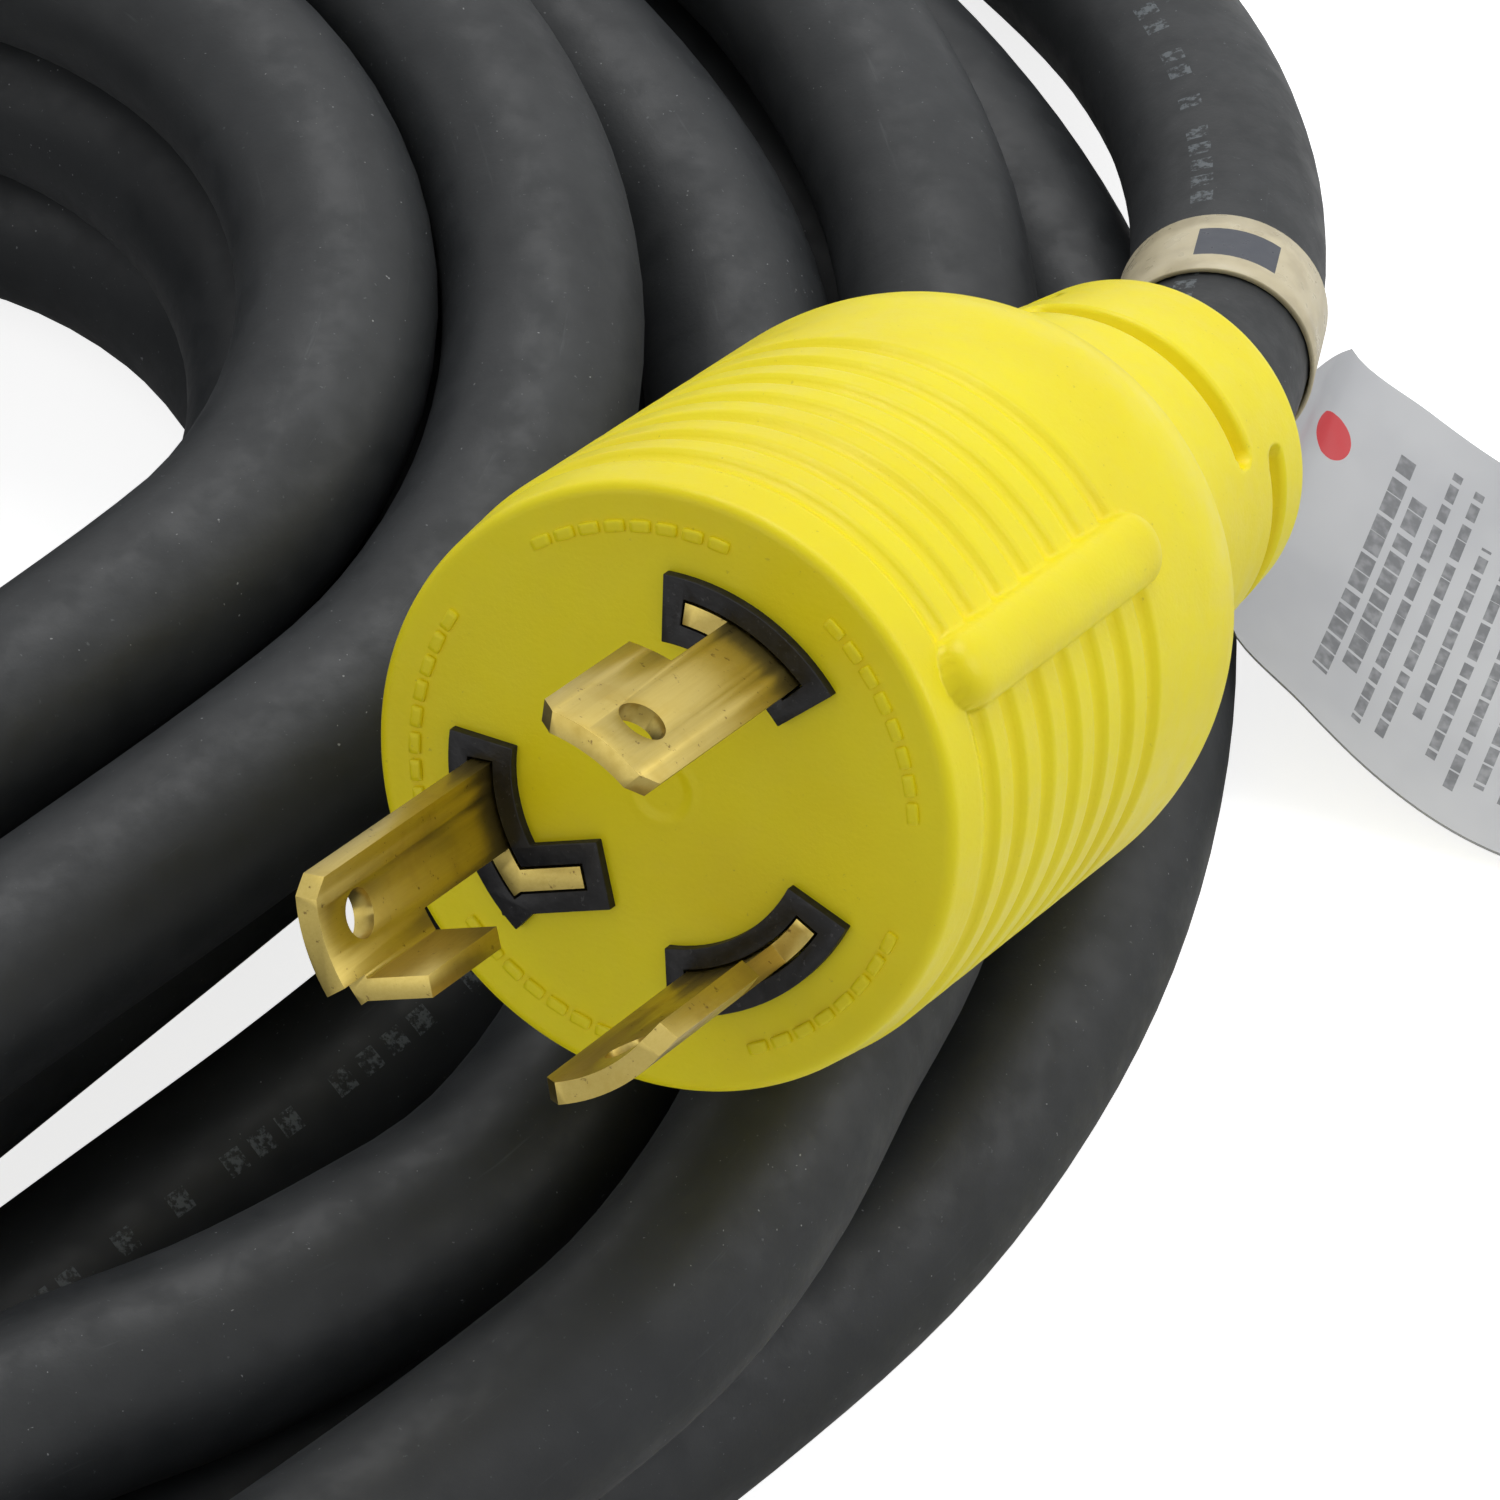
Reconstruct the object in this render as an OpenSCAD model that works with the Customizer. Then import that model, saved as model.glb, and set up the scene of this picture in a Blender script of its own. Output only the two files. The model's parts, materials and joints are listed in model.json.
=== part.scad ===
// Shore power cord: a moulded three-blade locking plug, a heavy round cable
// wound in a loose oval coil, and the matching moulded locking connector.
// Row frame: +Z up, z = 0 is the surface the cord lies on, +X runs from the
// connector to the plug, origin midway between the two ends.

/* [Plug body] */
// Diameter of the flat mating face
face_d = 50; // [47:0.5:51]
// Diameter of the ribbed grip
grip_d = 51.5; // [51:0.5:55]
// Width of the smooth lip in front of the ribs
lip_len = 4.2; // [3:0.1:6]
// Length from the face to where the rear shoulder starts to round
grip_len = 47.5; // [44:0.5:54]
// Radius of the rear shoulder's rounding
shoulder_r = 22.2; // [18:0.2:26]
// Arc of the shoulder's rounding in degrees
shoulder_arc = 47; // [40:1:52]
// Length of the flexible neck behind the shoulder
neck_len = 28.5; // [24:0.5:34]
// Diameter of the neck at its cable end
neck_end_d = 30.6; // [28:0.2:34]
// Step from the shoulder down to the neck
neck_step = 0.8; // [0.4:0.1:2]

/* [Grip pattern] */
// Number of grooves round the grip
groove_n = 7; // [5:1:7]
// Distance from one groove to the next
groove_pitch = 5.07; // [4.6:0.01:5.2]
// Distance from the face to the first groove
groove_first = 5.6; // [5.4:0.1:6.5]
// Radius of the round cutter that makes a groove
groove_r = 1.4; // [1.1:0.1:1.8]
// Depth of a groove
groove_depth = 0.7; // [0.4:0.1:1]
// Width of the raised index rib along the grip
rib_w = 6.2; // [5:0.2:8]
// Length of the index rib
rib_len = 37; // [30:1:40]
// Height of the index rib above the grip
rib_h = 2; // [1:0.1:2.4]
// Distance from the face to the index rib
rib_from = 3.4; // [3:0.1:5]
// Angle of the first index rib round the axis
rib_angle = 22; // [0:1:90]

/* [Neck slots] */
// Width of a flex slot along the axis
slot_w = 2.6; // [2:0.1:3.2]
// Depth of a flex slot
slot_depth = 3.2; // [2:0.1:4]
// Arc of one flex slot in degrees
slot_arc = 88; // [70:1:100]
// Distance from the cable end to the rear row of slots
slot_rear = 7.8; // [6:0.1:9]
// Distance between the two rows of slots
slot_pitch = 6.8; // [6:0.1:8]
// Angle of the front row's first slot round the axis
slot_angle = 57.5; // [40:0.5:70]

/* [Blades] */
// Diameter of the circle through the middle of the blades
blade_circle_d = 31; // [29:0.2:32]
// Thickness of a blade
blade_t = 1.8; // [1.4:0.1:2]
// Reach of the two line blades beyond the face
line_reach = 26; // [22:0.5:28]
// Reach of the ground blade beyond the face
ground_reach = 29.5; // [24:0.5:32]
// Middle angle of the first line blade
line_a_angle = 57; // [50:1:64]
// Arc of the first line blade
line_a_arc = 39; // [34:1:44]
// Middle angle of the second line blade
line_b_angle = 298; // [290:1:306]
// Arc of the second line blade
line_b_arc = 46; // [36:1:48]
// Middle angle of the ground blade
ground_angle = 195; // [188:1:200]
// Arc of the ground blade
ground_arc = 41; // [36:1:44]
// Length of the ground blade's inward leg
leg_len = 6; // [4.5:0.1:7]
// Direction of the ground blade's leg
leg_angle = 8; // [0:1:20]
// Arc of the locking notch in a blade
notch_arc = 13; // [10:1:16]
// Height of a line blade's notch shoulder above the face
notch_top = 10.5; // [10:0.5:14]
// Height of the ground blade's notch shoulder above the face
leg_notch_top = 15; // [12:0.5:17]
// Arc of the ground blade taken up by its bend
leg_bend = 7; // [6.5:0.5:9]
// Distance the ground blade's leg stops short of its tip
leg_set = 3.2; // [2:0.2:4]
// Diameter of the hole near a blade's tip
blade_hole_d = 4; // [3:0.1:4.6]
// Distance from a blade's tip to its hole
blade_hole_from = 5.8; // [4.5:0.1:7]
// Corner cut at a blade's tip
tip_cut = 1.4; // [0.8:0.1:2]

/* [Blade carrier] */
// Radial width of a collar round a blade
collar_w = 5.6; // [4.8:0.1:6.4]
// Height of a collar above the face
collar_h = 0.9; // [0.5:0.1:1.4]
// Arc by which a collar passes each end of its blade
collar_over = 7; // [6:0.5:9]
// Diameter of the carrier disc inside the body
carrier_d = 41; // [40:0.5:43]
// Thickness of the carrier disc
carrier_t = 8; // [6:0.5:10]
// Thickness of the body's skin in front of the carrier
face_skin = 1.6; // [1.2:0.1:2.4]
// Clearance of a blade in its slot
slot_gap = 0.2; // [0.1:0.05:0.3]

/* [Inner wiring] */
// Length of a blade's tang behind the carrier
tang_len = 10; // [8:0.5:12]
// Arc of a blade's tang
tang_arc = 18; // [14:1:22]
// Diameter of a crimp barrel
crimp_d = 6.4; // [6:0.1:7]
// Length of a crimp barrel
crimp_len = 10; // [8:0.5:12]
// Diameter of an insulated conductor
wire_d = 5; // [4.4:0.1:5.2]
// Diameter of a conductor's copper
copper_d = 3; // [2.6:0.1:3.4]
// Diameter of the inner bridge block
bridge_d = 39; // [38:0.5:40]
// Width of the grip ring crimped on the cable
grip_ring_w = 7; // [5:0.5:9]
// Wall of the grip ring
grip_ring_t = 1.2; // [0.8:0.1:1.6]
// Length of cable jacket inside the neck
jacket_in = 27; // [24:0.5:30]
// Clearance between an inner piece and the moulding round it
mould_gap = 0.1; // [0.05:0.01:0.15]

/* [Connector] */
// Diameter of the connector's front rim
conn_face_d = 54; // [52:0.5:56]
// Diameter of the connector's ribbed grip
conn_grip_d = 54; // [52:0.5:57]
// Length from the connector's face to its rear shoulder
conn_grip_len = 53; // [50:0.5:58]
// Diameter of the connector's black face insert
insert_d = 42; // [41:0.5:44]
// Length of the face insert
insert_len = 27; // [25:0.5:30]
// Height of the insert above the rim
insert_proud = 0.6; // [0.3:0.1:1]
// Clearance round a blade in the connector's entry slot
entry_gap = 0.35; // [0.25:0.05:0.5]
// Thickness of a contact leaf
leaf_t = 0.8; // [0.6:0.05:1]

/* [Cable] */
// Outside diameter of the cable
cable_d = 17.5; // [16:0.1:18.5]
// Length of the label strap along the cable
strap_w = 10.4; // [8:0.1:10.6]
// Thickness of the label strap
strap_t = 0.5; // [0.3:0.1:0.8]
// Width of the flag tag
tag_w = 40; // [34:1:44]
// Thickness of the flag tag
tag_t = 0.5; // [0.4:0.1:0.8]
// Width of the tie round the coil
tie_w = 20; // [16:1:24]
// Thickness of the tie
tie_t = 2; // [1.5:0.1:2.5]

/* [Coil] */
// Distance between the two round ends of the oval coil
coil_run = 105; // [90:1:110]
// Direction of the coil's long axis
coil_angle = 222; // [215:1:228]
// Radius of the outermost turn on the floor
base_out = 115; // [112:0.5:118]
// Radius of the innermost turn of the outer group
base_in = 74; // [73.5:0.5:78]
// Radius of the outer turn that lies on the outer group
upper_out = 107; // [104:0.5:108]
// Radius of the inner turn that lies on the outer group
upper_in = 93; // [91:0.5:95]
// Radius of the inner group's turn on the floor
inner_floor = 47.5; // [47:0.5:56]
// Radius of the inner group's middle turn
inner_mid = 56; // [54:0.5:56.5]
// Radius of the turns round the hole
hole_r = 46.8; // [45:0.2:48]
// Radius of the inner group's widest top turn
high_out = 64.5; // [62:0.5:65]

/* [Hidden] */
$fn = 64;

eps = 0.01;
joint_swell = 0.3;
rib_foot = 4;
strap_gap = 0.1;
tie_gap = 0.15;
cable_r = cable_d / 2;
layer_rise = cable_d * 0.87;
blade_r = blade_circle_d / 2;
grip_r = grip_d / 2;
conn_grip_r = conn_grip_d / 2;
shoulder_run = shoulder_r * sin(shoulder_arc);
shoulder_drop = shoulder_r * (1 - cos(shoulder_arc));
plug_len = grip_len + shoulder_run + neck_len;
conn_len = conn_grip_len + shoulder_run + neck_len;
carrier_back = face_skin + carrier_t;
tang_back = carrier_back + tang_len;
crimp_back = tang_back + crimp_len;
bridge_back = crimp_back - 1;
wire_lay_r = (wire_d / 2 + joint_swell) / sin(60) + 0.05;
lay_first = 60;

// Place of the coil's centre in the row frame
coil_x = 38.6;
coil_y = -26.3;

// Pose of the plug: its face centre from the coil's centre, and its turns
plug_at = [74.2, -80, 80];
plug_yaw = -119.3;
plug_tilt = 63.8;
plug_roll = 108.6;

// Pose of the connector: its neck end from the coil's centre, and its heading
conn_neck_at = [-105, 140];
conn_heading = 185;

// Unit vector along the plug's axis, out of its face
plug_axis = [sin(plug_tilt) * cos(plug_yaw), sin(plug_tilt) * sin(plug_yaw), cos(plug_tilt)];
plug_neck_at = plug_at - plug_len * plug_axis;
conn_axis = [cos(conn_heading), sin(conn_heading), 0];
conn_neck = [conn_neck_at[0], conn_neck_at[1], conn_grip_r];

// Route of the lead: out of the plug's neck, down to the floor and round the coil
LEAD = [
  plug_neck_at, [118.5, 0, 35], [121, 9.6, 30.6], [122.7, 19.5, 27],
  [123.6, 30, 23.6], [123.2, 43, 19.4], [121, 56, 15.6], [116.4, 69, 12.6],
  [108.6, 82.5, 10.4], [97, 97, 9.2], [80, 110.5, cable_r], [58, 122, cable_r],
  [34, 130, cable_r], [9, 133.5, cable_r], [-16, 132.8, cable_r], [-41, 127.8, cable_r]
];

// Route of the tail: off the coil's shoulder, over the lead and into the connector
TAIL = [
  [2, 110.6, 26.8], [-16, 112.3, 27.2], [-33, 116.6, 27.5], [-49, 123.5, 27.5],
  [-65, 131, 27.3], [-82, 137, 27.1], conn_neck
];

// Route of the flag tag's middle: off the strap's underside and down to the floor
TAG = [
  [128.1, 11, 22.3], [128, 8.5, 18.8], [128, 6.2, 15.4], [135, 3.7, 9.8],
  [142, 1.1, 5.4], [150, -1.8, 2.2], [160, -5.4, 0.5], [195, -18.2, 0.5]
];

// Coil centres: the floor turns, and the two turns lying on the outer group
run_dir = [cos(coil_angle), sin(coil_angle)];
base_b = coil_run * run_dir;
upper_a = [-12.4, -14];
upper_b = [base_b[0] + 2, base_b[1] - 6];
// How far out the upper turns stand along the tie, past the floor turns' centre
upper_shift = (upper_b - base_b) * run_dir;

// Heights of the turns' centres
z1 = cable_r;
z2 = cable_r + layer_rise;
z3 = z2 + cable_d - 0.4;

// ---------- vectors ----------
function unit(v) = v / norm(v);
function tangent(p, i, from, to) =
  i == 0 ? from
  : i == len(p) - 1 ? to
  : unit(p[i + 1] - p[i - 1]);
function side_of(t) = unit(cross([0, 0, 1], t));

// Ring of n points of radius r round point c, square to t
function ring(c, t, r, n) =
  let (s = side_of(t), u = cross(t, s))
  [for (k = [0 : n - 1]) c + r * (cos(360 * k / n) * s + sin(360 * k / n) * u)];

// Closed polyhedron through a list of rings that have the same number of points
module skin(rings) {
  m = len(rings);
  n = len(rings[0]);
  sides = [for (i = [0 : m - 2], k = [0 : n - 1])
    let (a = i * n + k, b = i * n + (k + 1) % n)
    each [[a, a + n, b + n], [a, b + n, b]]];
  first = [for (k = [0 : n - 1]) k];
  last = [for (k = [n - 1 : -1 : 0]) (m - 1) * n + k];
  polyhedron([for (r = rings) each r], concat(sides, [first], [last]), convexity = 8);
}

// Cable swept along a route that sets out along from and arrives along to
module swept(p, from, to, r = cable_r, n = 12) {
  skin([for (i = [0 : len(p) - 1]) ring(p[i], tangent(p, i, from, to), r, n)]);
}

// Straight round bar from a to b
module bar(a, b, r) {
  d = b - a;
  translate(a)
    rotate([0, acos(d[2] / norm(d)), atan2(d[1], d[0])])
      cylinder(r = r, h = norm(d));
}

// Round bar through a list of points with round joints
module bent_bar(p, r) {
  for (i = [0 : len(p) - 2]) bar(p[i], p[i + 1], r);
  for (i = [1 : len(p) - 2]) translate(p[i]) sphere(r = r + joint_swell);
}

// ---------- frames ----------
module at_coil() { translate([coil_x, coil_y, 0]) children(); }

module at_plug() {
  at_coil()
    translate(plug_at)
      rotate([0, 0, plug_yaw]) rotate([0, plug_tilt, 0]) rotate([0, 0, plug_roll])
        children();
}

module at_connector() {
  at_coil()
    translate(conn_neck + conn_len * conn_axis)
      rotate([0, 0, conn_heading]) rotate([0, 90, 0]) rotate([0, 0, 90])
        children();
}

// ---------- shared shapes ----------
// Part of a ring: radii r0 to r1, from angle a over arc w, z from z0 to z1
module sector(r0, r1, a, w, z0, z1) {
  rotate([0, 0, a])
    rotate_extrude(angle = w)
      translate([r0, z0]) square([r1 - r0, z1 - z0]);
}

// Outline of a moulded body, radius against depth behind the face
module body_outline(fr, gr, gl, len_all) {
  sr = gr - shoulder_drop;
  nr = sr - neck_step;
  er = neck_end_d / 2;
  difference() {
    union() {
      polygon([
        [0, 0], [fr - 0.8, 0], [fr, -0.8], [gr - 0.2, -lip_len], [gr, -lip_len - 0.6],
        [gr, -gl], [0, -gl]
      ]);
      intersection() {
        translate([gr - shoulder_r, -gl]) circle(r = shoulder_r, $fn = 128);
        translate([0, -gl - shoulder_run]) square([gr, shoulder_run + eps]);
      }
      translate([0, -gl - shoulder_run])
        square([sr, shoulder_run + eps]);
      polygon([
        [0, -gl - shoulder_run + eps], [nr, -gl - shoulder_run + eps],
        [nr, -gl - shoulder_run], [er, -len_all + 2], [er - 1.6, -len_all],
        [0, -len_all]
      ]);
    }
    for (i = [0 : groove_n - 1])
      translate([gr + groove_r - groove_depth, -groove_first - i * groove_pitch])
        circle(r = groove_r, $fn = 32);
  }
}

// Raised index rib with round ends, lying along the grip
module index_rib(gr, a) {
  rr = (rib_w * rib_w / 4 + rib_h * rib_h) / (2 * rib_h);
  tall = 2 * rib_w;
  rotate([0, 0, a])
    intersection() {
      translate([gr + rib_h - rr, 0, -rib_from - rib_len]) cylinder(r = rr, h = rib_len);
      translate([gr - rib_foot, 0, 0])
        rotate([0, 90, 0])
          union() {
            translate([rib_from + rib_w / 2, -rib_w / 2, 0])
              cube([rib_len - rib_w, rib_w, tall]);
            translate([rib_from + rib_w / 2, 0, 0]) cylinder(d = rib_w, h = tall);
            translate([rib_from + rib_len - rib_w / 2, 0, 0]) cylinder(d = rib_w, h = tall);
          }
    }
}

// Two rows of flex slots in the neck
module neck_slots(len_all) {
  beyond = neck_end_d;
  for (row = [0, 1], half = [0, 1]) {
    z = -len_all + slot_rear + row * slot_pitch;
    r_here = neck_end_d / 2 + row * 0.5;
    sector(
      r_here - slot_depth, beyond, slot_angle - slot_arc / 2 + half * 180 + (1 - row) * 90,
      slot_arc, z - slot_w / 2, z + slot_w / 2
    );
  }
}

// Place of a conductor in the cable's core: the nearest of three even angles
function lay_angle(a) = lay_first + 120 * round((a - lay_first) / 120);
function lay_at(a, z) = [wire_lay_r * cos(lay_angle(a)), wire_lay_r * sin(lay_angle(a)), z];
function crimp_at(a, z) = [blade_r * cos(a), blade_r * sin(a), z];

// Path of one conductor from its crimp to the cable core
function wire_path(a, z_from, len_all) = [
  crimp_at(a, -z_from), crimp_at(a, -z_from - 5),
  lay_at(a, -len_all + jacket_in + 3.5), lay_at(a, -len_all + 1)
];

module jacket_space(len_all, gap) {
  translate([0, 0, -len_all - 1]) cylinder(r = cable_r + gap, h = jacket_in + 1 + gap);
}

module ring_space(len_all, gap) {
  translate([0, 0, -len_all + jacket_in - 3 - grip_ring_w - gap])
    cylinder(r = cable_r + grip_ring_t + gap, h = grip_ring_w + 2 * gap);
}

// The moulded body, filled round everything inside it
module moulded(fr, gr, gl, len_all, angles, crimp_end) {
  difference() {
    union() {
      rotate_extrude($fn = 128) body_outline(fr, gr, gl, len_all);
      index_rib(gr, rib_angle);
      index_rib(gr, rib_angle + 180);
    }
    neck_slots(len_all);
    jacket_space(len_all, mould_gap);
    ring_space(len_all, mould_gap);
    for (a = angles) bent_bar(wire_path(a, crimp_end, len_all), wire_d / 2 + mould_gap);
  }
}

// The cable's jacket inside the neck, bored for its three conductors
module jacket_end(len_all, angles) {
  difference() {
    translate([0, 0, -len_all]) cylinder(r = cable_r, h = jacket_in);
    for (a = angles)
      translate(lay_at(a, -len_all + 0.5))
        cylinder(r = wire_d / 2 + mould_gap, h = jacket_in + 1);
  }
}

module grip_ring(len_all) {
  translate([0, 0, -len_all + jacket_in - 3 - grip_ring_w])
    difference() {
      cylinder(r = cable_r + grip_ring_t, h = grip_ring_w);
      translate([0, 0, -1]) cylinder(r = cable_r + mould_gap / 2, h = grip_ring_w + 2);
    }
}

// Insulated conductor, open at its crimp end for the copper
module wire(a, crimp_end, len_all) {
  difference() {
    bent_bar(wire_path(a, crimp_end, len_all), wire_d / 2);
    translate(crimp_at(a, -crimp_end - 3))
      cylinder(r = copper_d / 2 + mould_gap / 2, h = 4);
  }
}

module copper_end(a, crimp_end) {
  translate(crimp_at(a, -crimp_end - 2.8))
    cylinder(r = copper_d / 2, h = 2.8 + crimp_len - 1);
}

module crimp(a, z_back) {
  translate(crimp_at(a, -z_back))
    difference() {
      cylinder(d = crimp_d, h = crimp_len);
      translate([0, 0, -1]) cylinder(r = copper_d / 2 + mould_gap / 2, h = crimp_len + 0.2);
    }
}

// ---------- plug ----------
plug_angles = [line_a_angle, line_b_angle, ground_angle];

// Plan of the ground blade's leg, grown by g
module leg_plan(g) {
  a = ground_angle + ground_arc / 2 - blade_t / 2 / blade_r * 180 / PI;
  translate([blade_r * cos(a), blade_r * sin(a)])
    rotate(leg_angle)
      translate([-g, -blade_t / 2 - g]) square([leg_len + 2 * g, blade_t + 2 * g]);
}

module leg(g, z0, z1) {
  translate([0, 0, z0]) linear_extrude(z1 - z0) leg_plan(g);
}

// Plan of a blade: an arc of the blade circle, with the ground blade's leg
module blade_plan(a, w, has_leg) {
  far = 2 * blade_r;
  intersection() {
    difference() {
      circle(r = blade_r + blade_t / 2);
      circle(r = blade_r - blade_t / 2);
    }
    rotate(a - w / 2) polygon([[0, 0], [far, 0], [far * cos(w), far * sin(w)]]);
  }
  if (has_leg) leg_plan(0);
}

// Slot or blade section: an arc of the blade circle, grown by g on every side
module blade_arc(a, w, g, z0, z1) {
  ga = g / blade_r * 180 / PI;
  sector(blade_r - blade_t / 2 - g, blade_r + blade_t / 2 + g, a - w / 2 - ga, w + 2 * ga, z0, z1);
}

// Wedge that cuts a blade's tip corner at angle a, on the side that s points to
module tip_corner(a, reach, s) {
  rotate([0, 0, a])
    translate([blade_r - 2 * blade_t, 0, reach])
      rotate([90, 0, 90])
        linear_extrude(4 * blade_t)
          polygon([[-s, -tip_cut - 1], [s * (tip_cut + 1), 1], [-s, 1]]);
}

// One blade with its notch, tip hole and tang
module blade(a, w, reach, has_leg) {
  in_r = blade_r - blade_t - leg_len;
  out_r = blade_r + blade_t;
  difference() {
    translate([0, 0, -tang_back])
      linear_extrude(tang_back + reach)
        blade_plan(a, w, has_leg);
    sector(in_r, out_r, a - tang_arc / 2 - w, w, -tang_back - 1, -carrier_back);
    sector(in_r, out_r, a + tang_arc / 2, w, -tang_back - 1, -carrier_back);
    sector(in_r, out_r, a + w / 2 - notch_arc, w, collar_h, has_leg ? leg_notch_top : notch_top);
    if (has_leg) sector(in_r, out_r, a + w / 2 - leg_bend, w, reach - leg_set, reach + 1);
    rotate([0, 0, a - 3])
      translate([0, 0, reach - blade_hole_from])
        rotate([0, 90, 0]) cylinder(d = blade_hole_d, h = blade_r + 5);
    tip_corner(a - w / 2, reach, 1);
    if (!has_leg) tip_corner(a + w / 2, reach, -1);
  }
}

module collar(a, w, g, z0, z1) {
  sector(
    blade_r - collar_w / 2 - g, blade_r + collar_w / 2 + g,
    a - w / 2 - collar_over - g, w + 2 * collar_over + 2 * g, z0, z1
  );
}

module collars(g, z0, z1) {
  grow = (collar_w - blade_t) / 2 + g;
  collar(line_a_angle, line_a_arc, g, z0, z1);
  collar(line_b_angle, line_b_arc, g, z0, z1);
  collar(ground_angle, ground_arc, g, z0, z1);
  leg(grow, z0, z1);
}

module blade_slots(g, z0, z1) {
  blade_arc(line_a_angle, line_a_arc, g, z0, z1);
  blade_arc(line_b_angle, line_b_arc, g, z0, z1);
  blade_arc(ground_angle, ground_arc, g, z0, z1);
  leg(g, z0, z1);
}

module plug_body() {
  color("gold") at_plug()
    difference() {
      moulded(face_d / 2, grip_r, grip_len, plug_len, plug_angles, crimp_back);
      collars(mould_gap / 2, -face_skin - 1, 1);
      translate([0, 0, -carrier_back - eps])
        cylinder(d = carrier_d + 2 * mould_gap, h = carrier_t + eps);
      translate([0, 0, -bridge_back - mould_gap])
        cylinder(d = bridge_d + 2 * mould_gap, h = bridge_back - carrier_back + mould_gap);
      for (a = plug_angles)
        translate(crimp_at(a, -crimp_back - mould_gap))
          cylinder(d = crimp_d + 2 * mould_gap, h = crimp_len);
    }
}

module plug_carrier() {
  color("#202020") at_plug()
    difference() {
      union() {
        translate([0, 0, -carrier_back]) cylinder(d = carrier_d, h = carrier_t);
        collars(0, -carrier_back + 1, collar_h);
      }
      blade_slots(slot_gap, -carrier_back - 1, collar_h + 1);
    }
}

module blade_line_a() {
  color("#c9a84c") at_plug() blade(line_a_angle, line_a_arc, line_reach, false);
}

module blade_line_b() {
  color("#c9a84c") at_plug() blade(line_b_angle, line_b_arc, line_reach, false);
}

module blade_ground() {
  color("#c9a84c") at_plug() blade(ground_angle, ground_arc, ground_reach, true);
}

module plug_crimps() {
  color("#b08d3c") at_plug()
    for (a = plug_angles) crimp(a, crimp_back);
}

module plug_bridge() {
  color("#303030") at_plug()
    difference() {
      translate([0, 0, -bridge_back]) cylinder(d = bridge_d, h = bridge_back - carrier_back);
      for (a = plug_angles) {
        blade_arc(a, tang_arc, mould_gap, -tang_back - 1, 0);
        translate(crimp_at(a, -crimp_back - 1))
          cylinder(d = crimp_d + 2 * mould_gap, h = crimp_len + 1 + mould_gap);
      }
    }
}

module plug_wire_a() { color("#222222") at_plug() wire(line_a_angle, crimp_back, plug_len); }
module plug_wire_b() { color("#e8e8e4") at_plug() wire(line_b_angle, crimp_back, plug_len); }
module plug_wire_ground() { color("#2e7d32") at_plug() wire(ground_angle, crimp_back, plug_len); }

module plug_copper() {
  color("#b87333") at_plug()
    for (a = plug_angles) copper_end(a, crimp_back);
}

module plug_grip_ring() { color("#9a9a9a") at_plug() grip_ring(plug_len); }
module plug_jacket_end() { color("#262626") at_plug() jacket_end(plug_len, plug_angles); }

// ---------- connector ----------
// Seen from its own face the connector's pattern is the plug's in a mirror
conn_angles = [-line_a_angle, -line_b_angle, -ground_angle];
pocket_len = insert_len - 3;
contact_back = insert_len;
conn_crimp_back = contact_back + crimp_len;
back_t = 6;

module entry_slots(g, z0, z1) {
  mirror([0, 1, 0]) blade_slots(g, z0, z1);
}

module connector_body() {
  color("gold") at_connector()
    difference() {
      moulded(conn_face_d / 2, conn_grip_r, conn_grip_len, conn_len, conn_angles, conn_crimp_back);
      translate([0, 0, -insert_len]) cylinder(d = insert_d + 2 * mould_gap, h = insert_len + 1);
      translate([0, 0, -insert_len - back_t - mould_gap])
        cylinder(d = bridge_d + 2 * mould_gap, h = back_t + 1);
      for (a = conn_angles)
        translate(crimp_at(a, -conn_crimp_back - mould_gap))
          cylinder(d = crimp_d + 2 * mould_gap, h = crimp_len);
    }
}

module connector_insert() {
  color("#202020") at_connector()
    difference() {
      translate([0, 0, -insert_len]) cylinder(d = insert_d, h = insert_len + insert_proud);
      entry_slots(entry_gap, -insert_len - 1, insert_proud + 1);
      for (k = [0 : 2])
        blade_arc(
          conn_angles[k], contact_arcs[k], leaf_t + 2 * entry_gap,
          -insert_len - 1, -insert_len + pocket_len
        );
    }
}

contact_arcs = [line_a_arc - 4, line_b_arc - 4, ground_arc - 10];

// Two spring leaves on a root, one each side of the blade that enters
module contact(a, w) {
  in_r = blade_r - blade_t / 2 - entry_gap / 2;
  out_r = blade_r + blade_t / 2 + entry_gap / 2;
  top = -insert_len + pocket_len - 1;
  sector(in_r - leaf_t, in_r, a - w / 2, w, -contact_back, top);
  sector(out_r, out_r + leaf_t, a - w / 2, w, -contact_back, top);
  sector(in_r - leaf_t, out_r + leaf_t, a - w / 2, w, -contact_back, -contact_back + 2);
}

module contact_line_a() { color("#c9a84c") at_connector() contact(conn_angles[0], contact_arcs[0]); }
module contact_line_b() { color("#c9a84c") at_connector() contact(conn_angles[1], contact_arcs[1]); }
module contact_ground() { color("#c9a84c") at_connector() contact(conn_angles[2], contact_arcs[2]); }

module connector_back() {
  color("#303030") at_connector()
    difference() {
      translate([0, 0, -insert_len - back_t]) cylinder(d = bridge_d, h = back_t);
      for (a = conn_angles)
        translate(crimp_at(a, -insert_len - back_t - 1))
          cylinder(d = crimp_d + 2 * mould_gap, h = back_t + 2);
    }
}

module connector_crimps() {
  color("#b08d3c") at_connector()
    for (a = conn_angles) crimp(a, conn_crimp_back);
}

module connector_wire_a() {
  color("#222222") at_connector() wire(conn_angles[0], conn_crimp_back, conn_len);
}

module connector_wire_b() {
  color("#e8e8e4") at_connector() wire(conn_angles[1], conn_crimp_back, conn_len);
}

module connector_wire_ground() {
  color("#2e7d32") at_connector() wire(conn_angles[2], conn_crimp_back, conn_len);
}

module connector_copper() {
  color("#b87333") at_connector()
    for (a = conn_angles) copper_end(a, conn_crimp_back);
}

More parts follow.
